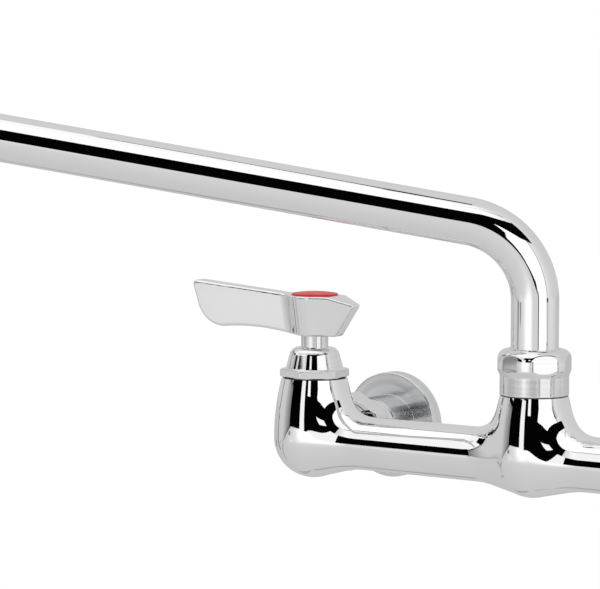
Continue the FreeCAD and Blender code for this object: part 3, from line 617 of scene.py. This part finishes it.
def turning_group(band_share=0.12, darkening=0.16):
    """Marks of a lathe: fine rings about an axis, grouped in slower bands."""
    tree, given = start_group("turning_marks", "pitch", "roughness", "spread")
    x, y, z = add_node(tree, "SeparateXYZ", {0: given["Vector"]}).outputs
    squares = [calculated(tree, "MULTIPLY", side, side) for side in (x, y)]
    radius = calculated(tree, "SQRT", calculated(tree, "ADD", *squares))
    rings = add_node(tree, "CombineXYZ", {0: radius, 1: z}).outputs[0]
    density = calculated(tree, "DIVIDE", 1.0, given["pitch"])
    fine = noise(tree, rings, density, 3.0)
    bands = noise(tree, rings, calculated(tree, "MULTIPLY", density, band_share), 2.0)
    rough = calculated(tree, "MULTIPLY", bands, given["spread"])
    return end_group(tree, calculated(tree, "ADD", rough, given["roughness"]),
                     calculated(tree, "MULTIPLY", fine, bands), bands, darkening)


turning_marks = turning_group()


def across_marks(tree, where, middle, axis):
    """The direction across the lathe's marks on the surface, for the shader's tangent."""
    offset = add_node(tree, "VectorMath", {0: where, 1: middle}, operation="SUBTRACT")
    around = add_node(tree, "VectorMath", {0: axis, 1: offset.outputs[0]}, operation="CROSS_PRODUCT")
    facing = add_node(tree, "NewGeometry").outputs["Normal"]
    across = add_node(tree, "VectorMath", {0: around.outputs[0], 1: facing}, operation="CROSS_PRODUCT")
    return add_node(tree, "VectorMath", {0: across.outputs[0]}, operation="NORMALIZE").outputs[0]


def turned_chrome(name, middle, axis=(0, 0, 1), colour=chrome_colour, pitch=2e-4, roughness=0.12, spread=0.1,
                  depth=1.5e-6, anisotropy=0.8, polish_above=None, polished=0.025):
    """Chrome over lathe marks about an axis. Above a height, where one is given, it is polished."""
    material, tree, metal, where = start_material(name, {"Anisotropic": anisotropy})
    tilt = math.pi / 2 if axis[1] else 0.0
    upright = add_node(tree, "Mapping", {"Vector": where, "Location": middle, "Rotation": (tilt, 0, 0)},
                       vector_type="TEXTURE").outputs[0]
    marks = finished_by(tree, turning_marks, upright, pitch=pitch, roughness=roughness, spread=spread)
    rough, height = marks["roughness"], marks["height"]
    if polish_above is not None:
        level = add_node(tree, "SeparateXYZ", {0: where}).outputs[2]
        below = calculated(tree, "LESS_THAN", level, polish_above)
        rough = calculated(tree, "MAXIMUM", calculated(tree, "MULTIPLY", rough, below), polished)
        height = calculated(tree, "MULTIPLY", height, below)
    dress(tree, metal, colour, marks["tint"], rough, height, depth)
    tree.links.new(across_marks(tree, where, middle, axis), metal.inputs["Tangent"])
    return material


def start_tree(name, *sizes, whole=()):
    """A geometry tree that takes a mesh and these named sizes."""
    tree = bpy.data.node_groups.new(name, "GeometryNodeTree")
    for way in ("INPUT", "OUTPUT"):
        tree.interface.new_socket("Geometry", in_out=way, socket_type="NodeSocketGeometry")
    for label in sizes:
        kind = "NodeSocketInt" if label in whole else "NodeSocketFloat"
        tree.interface.new_socket(label, in_out="INPUT", socket_type=kind)
    return tree, tree.nodes.new("NodeGroupInput").outputs


def end_tree(tree, geometry, material, smooth=True):
    shade = add_node(tree, "SetShadeSmooth", {"Geometry": geometry, "Shade Smooth": smooth})
    real = add_node(tree, "RealizeInstances", {"Geometry": shade.outputs[0]})
    painted = add_node(tree, "SetMaterial", {"Geometry": real.outputs[0], "Material": material})
    tree.links.new(painted.outputs[0], tree.nodes.new("NodeGroupOutput").inputs[0])
    return tree


def grown(name, tree, seed, **sizes):
    """The plain mesh that a geometry tree makes of a seed mesh and these sizes."""
    holder = link_mesh(name + "_seed", seed)
    modifier = holder.modifiers.new("grow", "NODES")
    modifier.node_group = tree
    for socket in tree.interface.items_tree:
        if socket.name in sizes:
            modifier[socket.identifier] = sizes[socket.name]
    ready = holder.evaluated_get(bpy.context.evaluated_depsgraph_get())
    mesh = bpy.data.meshes.new_from_object(ready)
    mesh.name = name
    bpy.data.objects.remove(holder)
    return mesh


def pipe_thread_tree(material):
    """One spiral ridge, drawn in a little towards its deep end as a taper thread is."""
    tree, given = start_tree("pipe_thread", "turns", "mouth_radius", "deep_radius", "length", "ridge")
    spiral = add_node(tree, "CurveSpiral", {
        "Rotations": given["turns"], "Start Radius": given["mouth_radius"],
        "End Radius": given["deep_radius"], "Height": given["length"], "Resolution": 64})
    upright = add_node(tree, "SetCurveNormal", {"Curve": spiral.outputs[0]}, mode="Z_UP")
    ridge = add_node(tree, "CurvePrimitiveCircle", {"Radius": given["ridge"], "Resolution": 4})
    swept = add_node(tree, "CurveToMesh", {"Curve": upright.outputs[0], "Profile Curve": ridge.outputs[0],
                                           "Fill Caps": True})
    return end_tree(tree, swept.outputs[0], material, smooth=False)


flange_form = turned(flange_outline)
for side, inlet in inlets.items():
    flange_chrome = turned_chrome("flange_chrome_" + side, inlet, (0, 1, 0), flange_colour, pitch=2.5e-4,
                                  roughness=0.14, spread=0.08, anisotropy=0.97)
    place(side + "_inlet_flange", "faucet", flange_chrome,
          moved(flange_form, inlet, out_of_wall))
    thread = grown(side + "_pipe_thread", pipe_thread_tree(flange_chrome),
                   bpy.data.meshes.new("thread_start"), turns=pipe_thread_turns,
                   mouth_radius=ridge_mouth_radius, deep_radius=ridge_deep_radius, ridge=ridge_size,
                   length=pipe_thread_turns * pipe_thread_pitch)
    thread.transform(Matrix.Translation((inlet[0], -pipe_thread_inset, 0)) @
                     Matrix.Rotation(math.pi / 2, 4, "X"))
    add_piece(side + "_pipe_thread", thread, "faucet")


# Union nuts: turned from hexagon brass bar, the hexagon in front and a round collar behind. Each
# screws on the body's port, and its lip pulls the tailpiece up against a washer.
nut_hex_apothem, nut_hex_chamfer, nut_hex_edge = 0.0138, 0.0013, 3e-4
nut_collar_radius, nut_collar_round = 0.0126, 0.0009
nut_back, nut_hex_back, nut_front = 0.0205, 0.0280, 0.0360
nut_thread_radius = 0.01105
nut_lip, nut_lip_radius = 0.0036, 0.0085
nut_cell = 0.00032
skin_margin = 0.0006


def hexagon_bar(x, y, z, apothem, low, high, chamfer, facing, edge):
    """A hexagonal bar with both ends turned back at 30 degrees and its edges broken."""
    out = ring_distance(x, y)
    shoulder = apothem / math.cos(math.pi / 6) - chamfer
    flats = [x * math.cos(a) + y * math.sin(a) - apothem
             for a in (math.radians(facing + 60 * i) for i in range(6))]
    turned_back = [0.5 * (out - shoulder) + math.cos(math.pi / 6) * past for past in (z - high, low - z)]
    return rounded_common(flats + turned_back + [z - high, low - z], edge)


def bored(solid, out, radius, along=1.0, edge=2e-4):
    """A solid with a round bore, its mouth's edge broken. The bore is where along is above 0."""
    return rounded_common([solid, np.minimum(radius - out, along)], edge)


def union_nut_field(x, y, z):
    out = ring_distance(x, y)
    collar = rounded_common([out - nut_collar_radius, nut_back - z, z - nut_hex_back - 0.001],
                            nut_collar_round)
    grip = hexagon_bar(x, y, z, nut_hex_apothem, nut_hex_back, nut_front, nut_hex_chamfer, 0.0, nut_hex_edge)
    whole = bored(melt(collar, grip, 4e-4), out, nut_lip_radius)
    return bored(whole, out, nut_thread_radius, z - nut_back - nut_lip)


def round_skin(field, reach, low, high, cell):
    """The skin of a piece that stands about the Z axis."""
    return skin(field, (-reach, -reach, low), (reach, reach, high), cell)


union_chrome = polished_chrome("union_nut_chrome", (0.88, 0.88, 0.885, 1.0), roughness=0.05, haze=0.05,
                               ripple=0.006, depth=1e-5)
union_form = round_skin(union_nut_field, nut_hex_apothem / math.cos(math.pi / 6) + skin_margin,
                        nut_back - skin_margin, nut_front + skin_margin, nut_cell)
for side, inlet in inlets.items():
    place(side + "_union_nut", "faucet", union_chrome,
          moved(union_form, inlet, out_of_wall))


# Small pieces inside the unions: stainless snap rings that hold the nuts, and nitrile washers.
# They are bare pressings and mouldings and keep the plain shapes that they are made in.
def mould_group(clouds=300.0, cloud_roughness=0.15, darkening=0.2):
    """Matt moulded surface: fine pits and a faint clouding."""
    tree, given = start_group("moulded_surface", "pit", "roughness")
    pits = noise(tree, given["Vector"], calculated(tree, "DIVIDE", 1.0, given["pit"]), 2.0)
    cloud = noise(tree, given["Vector"], clouds, 3.0)
    rough = calculated(tree, "ADD", given["roughness"], calculated(tree, "MULTIPLY", cloud, cloud_roughness))
    return end_group(tree, rough, pits, cloud, darkening)


moulded_surface = mould_group()


def moulded(name, colour, roughness, pit=3e-4, depth=4e-6, specular=0.5):
    material, tree, shader, where = start_material(name, {"Metallic": 0.0, "Specular IOR Level": specular})
    surface = finished_by(tree, moulded_surface, where, pit=pit, roughness=roughness)
    dress(tree, shader, colour, surface["tint"], surface["roughness"], surface["height"], depth)
    return material


def finish_node(node, material):
    """Give a node that keeps its own shape its real finish."""
    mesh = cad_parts[node].data
    mesh.materials.clear()
    mesh.materials.append(material)


stainless = polished_chrome("stainless", (0.58, 0.57, 0.56, 1.0), roughness=0.24, haze=0.1, ripple=0.002,
                            depth=4e-6)
black_rubber = moulded("black_rubber", (0.018, 0.018, 0.019, 1.0), 0.55)
for side in valves:
    finish_node(side + "_snap_ring", stainless)
    finish_node(side + "_inlet_washer", black_rubber)


# Valve cartridges: lapped ceramic discs on a nitrile seat in a turned brass sleeve. The lower disc
# is fixed and the upper one is driven by the stem. They keep their own shapes inside the bosses.
disc_ceramic = moulded("disc_ceramic", (0.86, 0.84, 0.79, 1.0), 0.35, pit=1e-4, depth=1e-6)
brass_colour = (0.74, 0.55, 0.24, 1.0)
for side, valve in valves.items():
    finish_node(side + "_cartridge_sleeve", turned_chrome("turned_brass_" + side, valve, colour=brass_colour,
                                                          roughness=0.2))
    finish_node(side + "_seat_seal", black_rubber)
    for disc in ("fixed_disc", "rotating_disc"):
        finish_node(side + "_" + disc, disc_ceramic)


# Stems: turned brass spindles, plated and left satin where they show between bonnet and lever.
# O-rings and a nylon washer seal and carry each one inside its bonnet.
white_nylon = moulded("white_nylon", (0.80, 0.78, 0.71, 1.0), 0.45)
for side, valve in valves.items():
    satin = turned_chrome("satin_stem_" + side, valve, colour=(0.87, 0.87, 0.88, 1.0), pitch=2.5e-4,
                          roughness=0.05, spread=0.07, depth=4e-6)
    finish_node(side + "_stem", satin)
    finish_node(side + "_stem_o_rings", black_rubber)
    finish_node(side + "_stem_washer", white_nylon)


# Bonnets: turned from hexagon bar, a low hexagon for the spanner under a leaning dome, with the
# thread below it in the boss. A thin rim of the black rubber gasket fills a gap under the hexagon
# on the boss's top: real rubber, and also painted shade for the dark line of the gap's shadow.
bonnet_apothem = 0.0120
bonnet_hex_top = 0.0281
bonnet_top = 0.0365
bonnet_chamfer = 0.0008
bonnet_facing = 9.7
dome_foot = (0.0114, 0.0281)
shoulder_round = 0.0026
shoulder_centre = (0.00715, 0.0339)
bonnet_thread, bonnet_foot = 0.0102, 0.01535
stem_bore = 0.00545
gasket_bore, gasket_plug, gasket_and_shade_rim = 0.0103, 0.0116, 0.0124
gasket_foot = 0.0231
bonnet_cell = 0.0003
valve_turns = {"hot": math.pi, "cold": 0.0}


def bonnet_field(x, y, z):
    out = ring_distance(x, y)
    run = dome_foot[0] - shoulder_centre[0], dome_foot[1] - shoulder_centre[1]
    tangent = math.atan2(run[1], run[0]) + math.acos(shoulder_round / math.hypot(*run))
    flank = (out - shoulder_centre[0]) * math.cos(tangent) + (z - shoulder_centre[1]) * math.sin(tangent)
    dome = np.maximum(rounded_common([flank - shoulder_round, z - bonnet_top], shoulder_round),
                      bonnet_hex_top - 5e-4 - z)
    grip = hexagon_bar(x, y, z, bonnet_apothem, boss_top + nut_gap, bonnet_hex_top, bonnet_chamfer,
                       bonnet_facing, 3e-4)
    thread = rounded_common([out - bonnet_thread, bonnet_foot - z, z - bonnet_hex_top], 3e-4)
    return bored(np.minimum(melt(dome, grip, 3e-4), thread), out, stem_bore, edge=2.5e-4)


def at_valve(side, form):
    """A form that stands about the Z axis, turned and set on this side's valve."""
    return moved(form, valves[side], turn_matrix(valve_turns[side]))


bonnet_form = round_skin(bonnet_field, bonnet_apothem / math.cos(math.pi / 6) + skin_margin,
                         bonnet_foot - skin_margin, bonnet_top + skin_margin, bonnet_cell)
# The gasket's rim above the boss's top fills the gap under the hexagon: real black rubber, and also painted
# shade for the gap's shadow.
gasket_and_shade_form = turned([(gasket_bore, gasket_foot, 0), (gasket_plug, gasket_foot, 0),
                      (gasket_plug, boss_top, 0), (gasket_and_shade_rim, boss_top, 0),
                      (gasket_and_shade_rim, boss_top + nut_gap, 0), (gasket_bore, boss_top + nut_gap, 0)])
for side, valve in valves.items():
    bonnet_chrome = turned_chrome("bonnet_chrome_" + side, valve, pitch=1.6e-4, roughness=0.015, spread=0.05,
                                  depth=6e-7, anisotropy=0.6)
    place(side + "_bonnet", "faucet", bonnet_chrome, at_valve(side, bonnet_form))
    place(side + "_bonnet_gasket", "faucet", black_rubber, moved(gasket_and_shade_form, valve))


# Levers: cast brass, one long blade with a hub and a bevelled tail, rounded all over, polished and
# plated. Seen from above the blade runs into the hub in small hollows; from the side it has a
# heel, a long hump and a round toe under its rising top.
lever_foot, lever_top = 0.0412, 0.0572
lever_reach = 0.0590
hub_radii = (0.0076, 0.0101)
blade_half_widths = (0.0028, 0.0033)
tail_reaches = (0.0120, 0.0228)
tail_half_width = 0.0025
web_blend = 0.0052
blade_rise, tail_bevel, tip_lean = (math.radians(v) for v in (4.2, 16.5, 17.5))
heel_radius, hump_radius, toe_radius = 0.0080, 0.1180, 0.0125
hump_height = 0.0019
toe_lift = 0.0012
lever_corner, lever_edge = 0.0026, 0.0011
recess_radius, recess_floor = 0.00925, 0.0565
stem_hole, stem_hole_depth = 0.0055, 0.006
lever_cell, lever_margin = 0.0004, 0.001

lever_peak = lever_top + (lever_reach - hub_radii[1]) * math.tan(blade_rise)
toe_z = lever_foot + toe_lift + toe_radius
tip_rise = lever_peak - toe_z + toe_radius * math.sin(tip_lean)
toe_x = lever_reach - tip_rise * math.tan(tip_lean) - toe_radius * math.cos(tip_lean)
hump_z = lever_foot + hump_height - hump_radius
hump_x = toe_x - math.sqrt((toe_radius + hump_radius) ** 2 - (toe_z - hump_z) ** 2)
heel_z = lever_foot + heel_radius
heel_x = hump_x - math.sqrt((heel_radius + hump_radius) ** 2 - (heel_z - hump_z) ** 2)


def lever_plan(x, y, z):
    """Distance to the lever's outline seen from above, which widens towards its top."""
    share = (z - lever_foot) / (lever_top - lever_foot)
    hub, blade, tail = (low + share * (high - low) for low, high in
                        (hub_radii, blade_half_widths, tail_reaches))
    out = ring_distance(x, y)
    tail_angle = np.arctan2(tail_half_width, -tail) - np.arccos(hub / ring_distance(tail, tail_half_width))
    beside_tail = x * np.cos(tail_angle) + np.abs(y) * np.sin(tail_angle) - hub
    rear = np.where(np.arctan2(np.abs(y), x) < tail_angle, out - hub, beside_tail)
    return melt(rear, np.maximum(np.abs(y) - blade, -x), web_blend), (-x - tail) / 1.2


def lever_side(x, z):
    """Distance to the lever's outline seen from the side."""
    rising = (z - lever_top - (x - hub_radii[1]) * math.tan(blade_rise)) * math.cos(blade_rise)
    bevel = (z - lever_top - (x + hub_radii[1]) * math.tan(tail_bevel)) * math.cos(tail_bevel)
    top = np.maximum(np.minimum(z - lever_top, rising), bevel)
    heel = ring_distance(x - heel_x, np.minimum(z - heel_z, 0)) - heel_radius
    hump = hump_radius - ring_distance(x - hump_x, z - hump_z)
    toe = ring_distance(x - toe_x, z - toe_z) - toe_radius
    tip = (x - lever_reach) * math.cos(tip_lean) - (z - lever_peak) * math.sin(tip_lean)
    front = np.where(np.arctan2(z - toe_z, x - toe_x) > -tip_lean, tip, toe)
    before_toe = (x - hump_x) * (toe_z - hump_z) < (z - hump_z) * (toe_x - hump_x)
    before_hump = (x - hump_x) * (heel_z - hump_z) < (z - hump_z) * (heel_x - hump_x)
    under = np.where(before_toe, np.where(before_hump, heel, hump), front)
    return rounded_common([top, np.where(x < heel_x, lever_foot - z, under)], lever_corner)


def lever_field(x, y, z):
    plan, tail_end = lever_plan(x, y, z)
    whole = rounded_common([plan, tail_end, lever_side(x, z)], lever_edge)
    out = ring_distance(x, y)
    recess = np.maximum(out - recess_radius, recess_floor - z)
    stem_entry = np.maximum(out - stem_hole, z - lever_foot - stem_hole_depth)
    return np.maximum(whole, -np.minimum(recess, stem_entry))


lever_low = np.array((-tail_reaches[1], -hub_radii[1], lever_foot)) - lever_margin
lever_high = np.array((lever_reach, hub_radii[1], lever_peak)) + lever_margin
lever_form = skin(lever_field, lever_low, lever_high, lever_cell)
lever_chrome = polished_chrome("handle_chrome", roughness=0.035, haze=0.05, ripple=0.009, depth=1.6e-5)
for side in valves:
    place(side + "_lever_handle", side + "_lever", lever_chrome, at_valve(side, lever_form))


# Index buttons: glossy moulded discs, red for hot and blue for cold, with a low dome. Each has a
# short plug that presses into the hub over the screw. Their tops are bare.
button_radius = 0.0092
button_edge, button_crown = 0.0006, 0.0008
plug_radius, plug_depth = 0.0059, 0.0016
button_colours = {"hot": ("red_index", (0.78, 0.030, 0.020, 1.0)),
                  "cold": ("blue_index", (0.012, 0.09, 0.52, 1.0))}
button_cell = 0.0003


def button_field(x, y, z):
    out = ring_distance(x, y)
    dome_radius = (button_radius ** 2 + button_crown ** 2) / (2 * button_crown)
    dome = ring_distance(out, z - lever_top - button_edge - button_crown + dome_radius) - dome_radius
    disc = rounded_common([dome, out - button_radius, recess_floor - z], 5e-4)
    plug = rounded_common([out - plug_radius, recess_floor - plug_depth - z, z - recess_floor - 3e-4], 2e-4)
    return np.minimum(disc, plug)


button_form = round_skin(button_field, button_radius + skin_margin, recess_floor - plug_depth - skin_margin,
                         lever_top + button_edge + button_crown + skin_margin, button_cell)
for side, (slot, colour) in button_colours.items():
    button_plastic = moulded(slot, colour, 0.25, pit=8e-4, depth=5e-7, specular=0.2)
    place(side + "_index_button", side + "_lever", button_plastic, at_valve(side, button_form))
    finish_node(side + "_handle_screw", stainless)


# Swivel: a turned brass ferrule on the spout's foot, with two O-rings in the centre boss, held
# between nylon washers by the spout nut. All of it is hidden.
finish_node("spout_ferrule", turned_chrome("turned_brass_swivel", riser_place, colour=brass_colour,
                                           roughness=0.2))
finish_node("swivel_o_rings", black_rubber)
for washer in ("swivel_lower_washer", "swivel_upper_washer"):
    finish_node(washer, white_nylon)


# Spout nut: turned from brass bar, a finely turned skirt under a polished round crown with six
# milled flats. It screws on the centre boss and holds the ferrule down. A near-black ring in the
# gap under its skirt, on the boss's top, is painted shade for the dark line of the gap's shadow.
skirt_radius, crown_radius = 0.01315, 0.0142
skirt_top, crown_top = 0.0325, 0.0422
crown_round, swell_round = 0.0040, 0.0022
crown_flat_apothem = 0.01335
crown_facing = math.radians(18.0)
tube_hole = 0.0094
crown_ceiling, spigot_clearance = 0.0381, 5e-5
polish_start = 0.0331
# Size of the near-black ring painted as shade in the gap under the nut.
gap_shade_radius, gap_shade_sink = 0.0127, 0.0005
spout_nut_cell, crown_margin, skirt_margin = 0.0003, 0.0007, 0.0003


def spout_nut_field(x, y, z):
    out = ring_distance(x, y)
    crown = np.maximum(rounded_common([out - crown_radius, z - crown_top], crown_round),
                       rounded_common([out - crown_radius, skirt_top - z], swell_round))
    flats = [x * math.cos(a) + y * math.sin(a) - crown_flat_apothem
             for a in (crown_facing + math.pi / 3 * i for i in range(6))]
    crown = rounded_common([crown] + flats, 4e-4)
    skirt = rounded_common([out - skirt_radius, boss_top + nut_gap - z, z - skirt_top - 0.002], 3e-4)
    whole = bored(melt(crown, skirt, 8e-4), out, tube_hole, edge=5e-4)
    return bored(whole, out, spigot_radius + spigot_clearance, crown_ceiling - z)


spout_nut_form = round_skin(spout_nut_field, crown_radius + crown_margin, boss_top - skirt_margin,
                            crown_top + crown_margin, spout_nut_cell)
spout_nut_chrome = turned_chrome("spout_nut_chrome", riser_place, pitch=1.8e-4, spread=0.08,
                                 polish_above=polish_start)
place("spout_nut", "faucet", spout_nut_chrome, moved(spout_nut_form, riser_place))
# Painted shade: a dark matt ring in the gap between the nut's skirt and the boss, where its shadow falls.
gap_shade_form = turned([(spigot_radius, boss_top - gap_shade_sink, 0), (gap_shade_radius, boss_top - gap_shade_sink, 0),
                    (gap_shade_radius, boss_top + nut_gap, 0), (spigot_radius, boss_top + nut_gap, 0)])
gap_shade_paint = moulded("painted_gap_shade", (0.03, 0.028, 0.026, 1.0), 0.6)
add_piece("spout_nut_gap_shade", form_mesh("spout_nut_gap_shade", moved(gap_shade_form, riser_place), gap_shade_paint), "faucet")


# Spout: one length of drawn brass tube, bent twice on a former, polished and plated. It rises from
# the nut, runs out on a rising slope, and turns down to the outlet.
tube_radius, tube_wall = 0.0091, 0.0012
bend_radius = 0.0305
spout_reach = 0.3048
corner_height = 0.0859
spout_slope = math.radians(9.66)
rest_turn = math.radians(-59.0)
outlet_leg = 0.0137
tube_foot = 0.0341
peak_height = corner_height + spout_reach * math.tan(spout_slope)
spout_end = peak_height - bend_radius * math.tan(0.5 * (math.pi / 2 + spout_slope)) - outlet_leg


def spout_tree(material):
    """The bent tube: a path of straight runs, rounded at its corners and swept with two circles."""
    tree, given = start_tree("bent_tube", "bend_radius", "outer_radius", "inner_radius")
    path = add_node(tree, "MeshToCurve", {"Mesh": given["Geometry"]})
    bent = add_node(tree, "FilletCurve", {"Curve": path.outputs[0], "Radius": given["bend_radius"],
                                          "Count": 48}, mode="POLY")
    join = add_node(tree, "JoinGeometry")
    for size in ("outer_radius", "inner_radius"):
        circle = add_node(tree, "CurvePrimitiveCircle", {"Radius": given[size], "Resolution": 96})
        wall = add_node(tree, "CurveToMesh", {"Curve": bent.outputs[0], "Profile Curve": circle.outputs[0]})
        tree.links.new(wall.outputs[0], join.inputs[0])
    return end_tree(tree, join.outputs[0], material)


def close_ends(mesh):
    """Join the outer and the inner wall at each end of the tube."""
    shape = bmesh.new()
    shape.from_mesh(mesh)
    rims = [edge for edge in shape.edges if edge.is_boundary]
    for edge in rims:
        edge.smooth = False
    for at_foot in (True, False):
        ends = [edge for edge in rims if (edge.verts[0].co.xy.length < 2 * tube_radius) == at_foot]
        bmesh.ops.bridge_loops(shape, edges=ends)
    bmesh.ops.recalc_face_normals(shape, faces=shape.faces)
    shape.to_mesh(mesh)
    shape.free()


def spout_piece():
    seed = bpy.data.meshes.new("spout_path")
    seed.from_pydata([(0, 0, tube_foot), (0, 0, corner_height), (0, -spout_reach, peak_height),
                      (0, -spout_reach, spout_end)], [(0, 1), (1, 2), (2, 3)], [])
    spout_chrome = polished_chrome("spout_chrome", ripple=0.02, depth=1.5e-5)
    tube = grown("spout_tube", spout_tree(spout_chrome), seed, bend_radius=bend_radius,
                 outer_radius=tube_radius, inner_radius=tube_radius - tube_wall)
    close_ends(tube)
    tube.transform(Matrix.Translation(riser_place) @ Matrix.Rotation(rest_turn, 4, "Z"))
    piece = add_piece("spout_tube_finished", tube, "spout")
    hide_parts("spout_tube")


spout_piece()


# Outlet: a turned cap screwed on the spout's end. Inside it a moulded insert with a ring of holes
# breaks up the stream, sealed by a black washer.
cap_radius, cap_mouth, cap_thread = 0.0114, 0.00815, 0.00915
cap_height, cap_overlap = 0.0170, 0.0090
cap_bottom = spout_end + cap_overlap - cap_height
insert_radius, insert_inset, washer_room = 0.0091, 0.0022, 0.0015
insert_low, insert_high = cap_bottom + insert_inset, spout_end - washer_room
hole_radius, hole_circle, hole_count = 0.0009, 0.0050, 8
hole_lip_radius, hole_lip_size = 0.00125, 0.0003
insert_cell, insert_margin = 0.00025, 0.0005
outlet_place = (spout_reach * math.sin(rest_turn), -wall_standoff - spout_reach * math.cos(rest_turn), 0)


def insert_field(x, y, z):
    out = ring_distance(x, y)
    whole = rounded_common([out - insert_radius, z - insert_high, insert_low - z], 3e-4)
    turn = 2 * math.pi / hole_count
    angle = (np.arctan2(y, x) + turn / 2) % turn - turn / 2
    to_hole = ring_distance(out * np.cos(angle) - hole_circle, out * np.sin(angle))
    return rounded_common([whole, hole_radius - np.minimum(out, to_hole)], 1.5e-4)


def nozzle_tree(material):
    """A raised lip round each hole of the ring and round the middle one."""
    tree, given = start_tree("hole_lips", "holes", "ring_radius", "lip_radius", "lip_size", whole=("holes",))
    circle = add_node(tree, "CurvePrimitiveCircle", {"Radius": given["lip_radius"], "Resolution": 32})
    section = add_node(tree, "CurvePrimitiveCircle", {"Radius": given["lip_size"], "Resolution": 10})
    lip = add_node(tree, "CurveToMesh", {"Curve": circle.outputs[0], "Profile Curve": section.outputs[0]})
    ring = add_node(tree, "MeshCircle", {"Vertices": given["holes"], "Radius": given["ring_radius"]})
    lips = add_node(tree, "InstanceOnPoints", {"Points": ring.outputs[0], "Instance": lip.outputs[0]})
    join = add_node(tree, "JoinGeometry", {"Geometry": lips.outputs[0]})
    tree.links.new(lip.outputs[0], join.inputs[0])
    return end_tree(tree, join.outputs[0], material)


cap_form = turned([(cap_mouth, cap_bottom, 3e-4), (cap_radius, cap_bottom, 8e-4),
                   (cap_radius, cap_bottom + cap_height, 8e-4), (cap_thread, cap_bottom + cap_height, 2e-4),
                   (cap_thread, insert_low, 0), (cap_mouth, insert_low, 0)])
cap_chrome = polished_chrome("aerator_chrome", roughness=0.03, ripple=0.005, depth=4e-6)
insert_plastic = moulded("insert_plastic", (0.42, 0.43, 0.44, 1.0), 0.4)
insert_form = round_skin(insert_field, insert_radius + insert_margin, insert_low - insert_margin,
                         insert_high + insert_margin, insert_cell)
outlet_turn = turn_matrix(rest_turn)
place("aerator_housing", "spout", cap_chrome, moved(cap_form, outlet_place, outlet_turn))
place("aerator_insert", "spout", insert_plastic,
      moved(insert_form, outlet_place, outlet_turn))
lips = grown("aerator_hole_lips", nozzle_tree(insert_plastic), bpy.data.meshes.new("lip_start"),
             holes=hole_count, ring_radius=hole_circle, lip_radius=hole_lip_radius,
             lip_size=hole_lip_size)
lips.transform(Matrix.Translation(outlet_place) @ Matrix.Rotation(rest_turn, 4, "Z") @
               Matrix.Translation((0, 0, insert_low)))
add_piece("aerator_hole_lips", lips, "spout")
finish_node("aerator_washer", black_rubber)
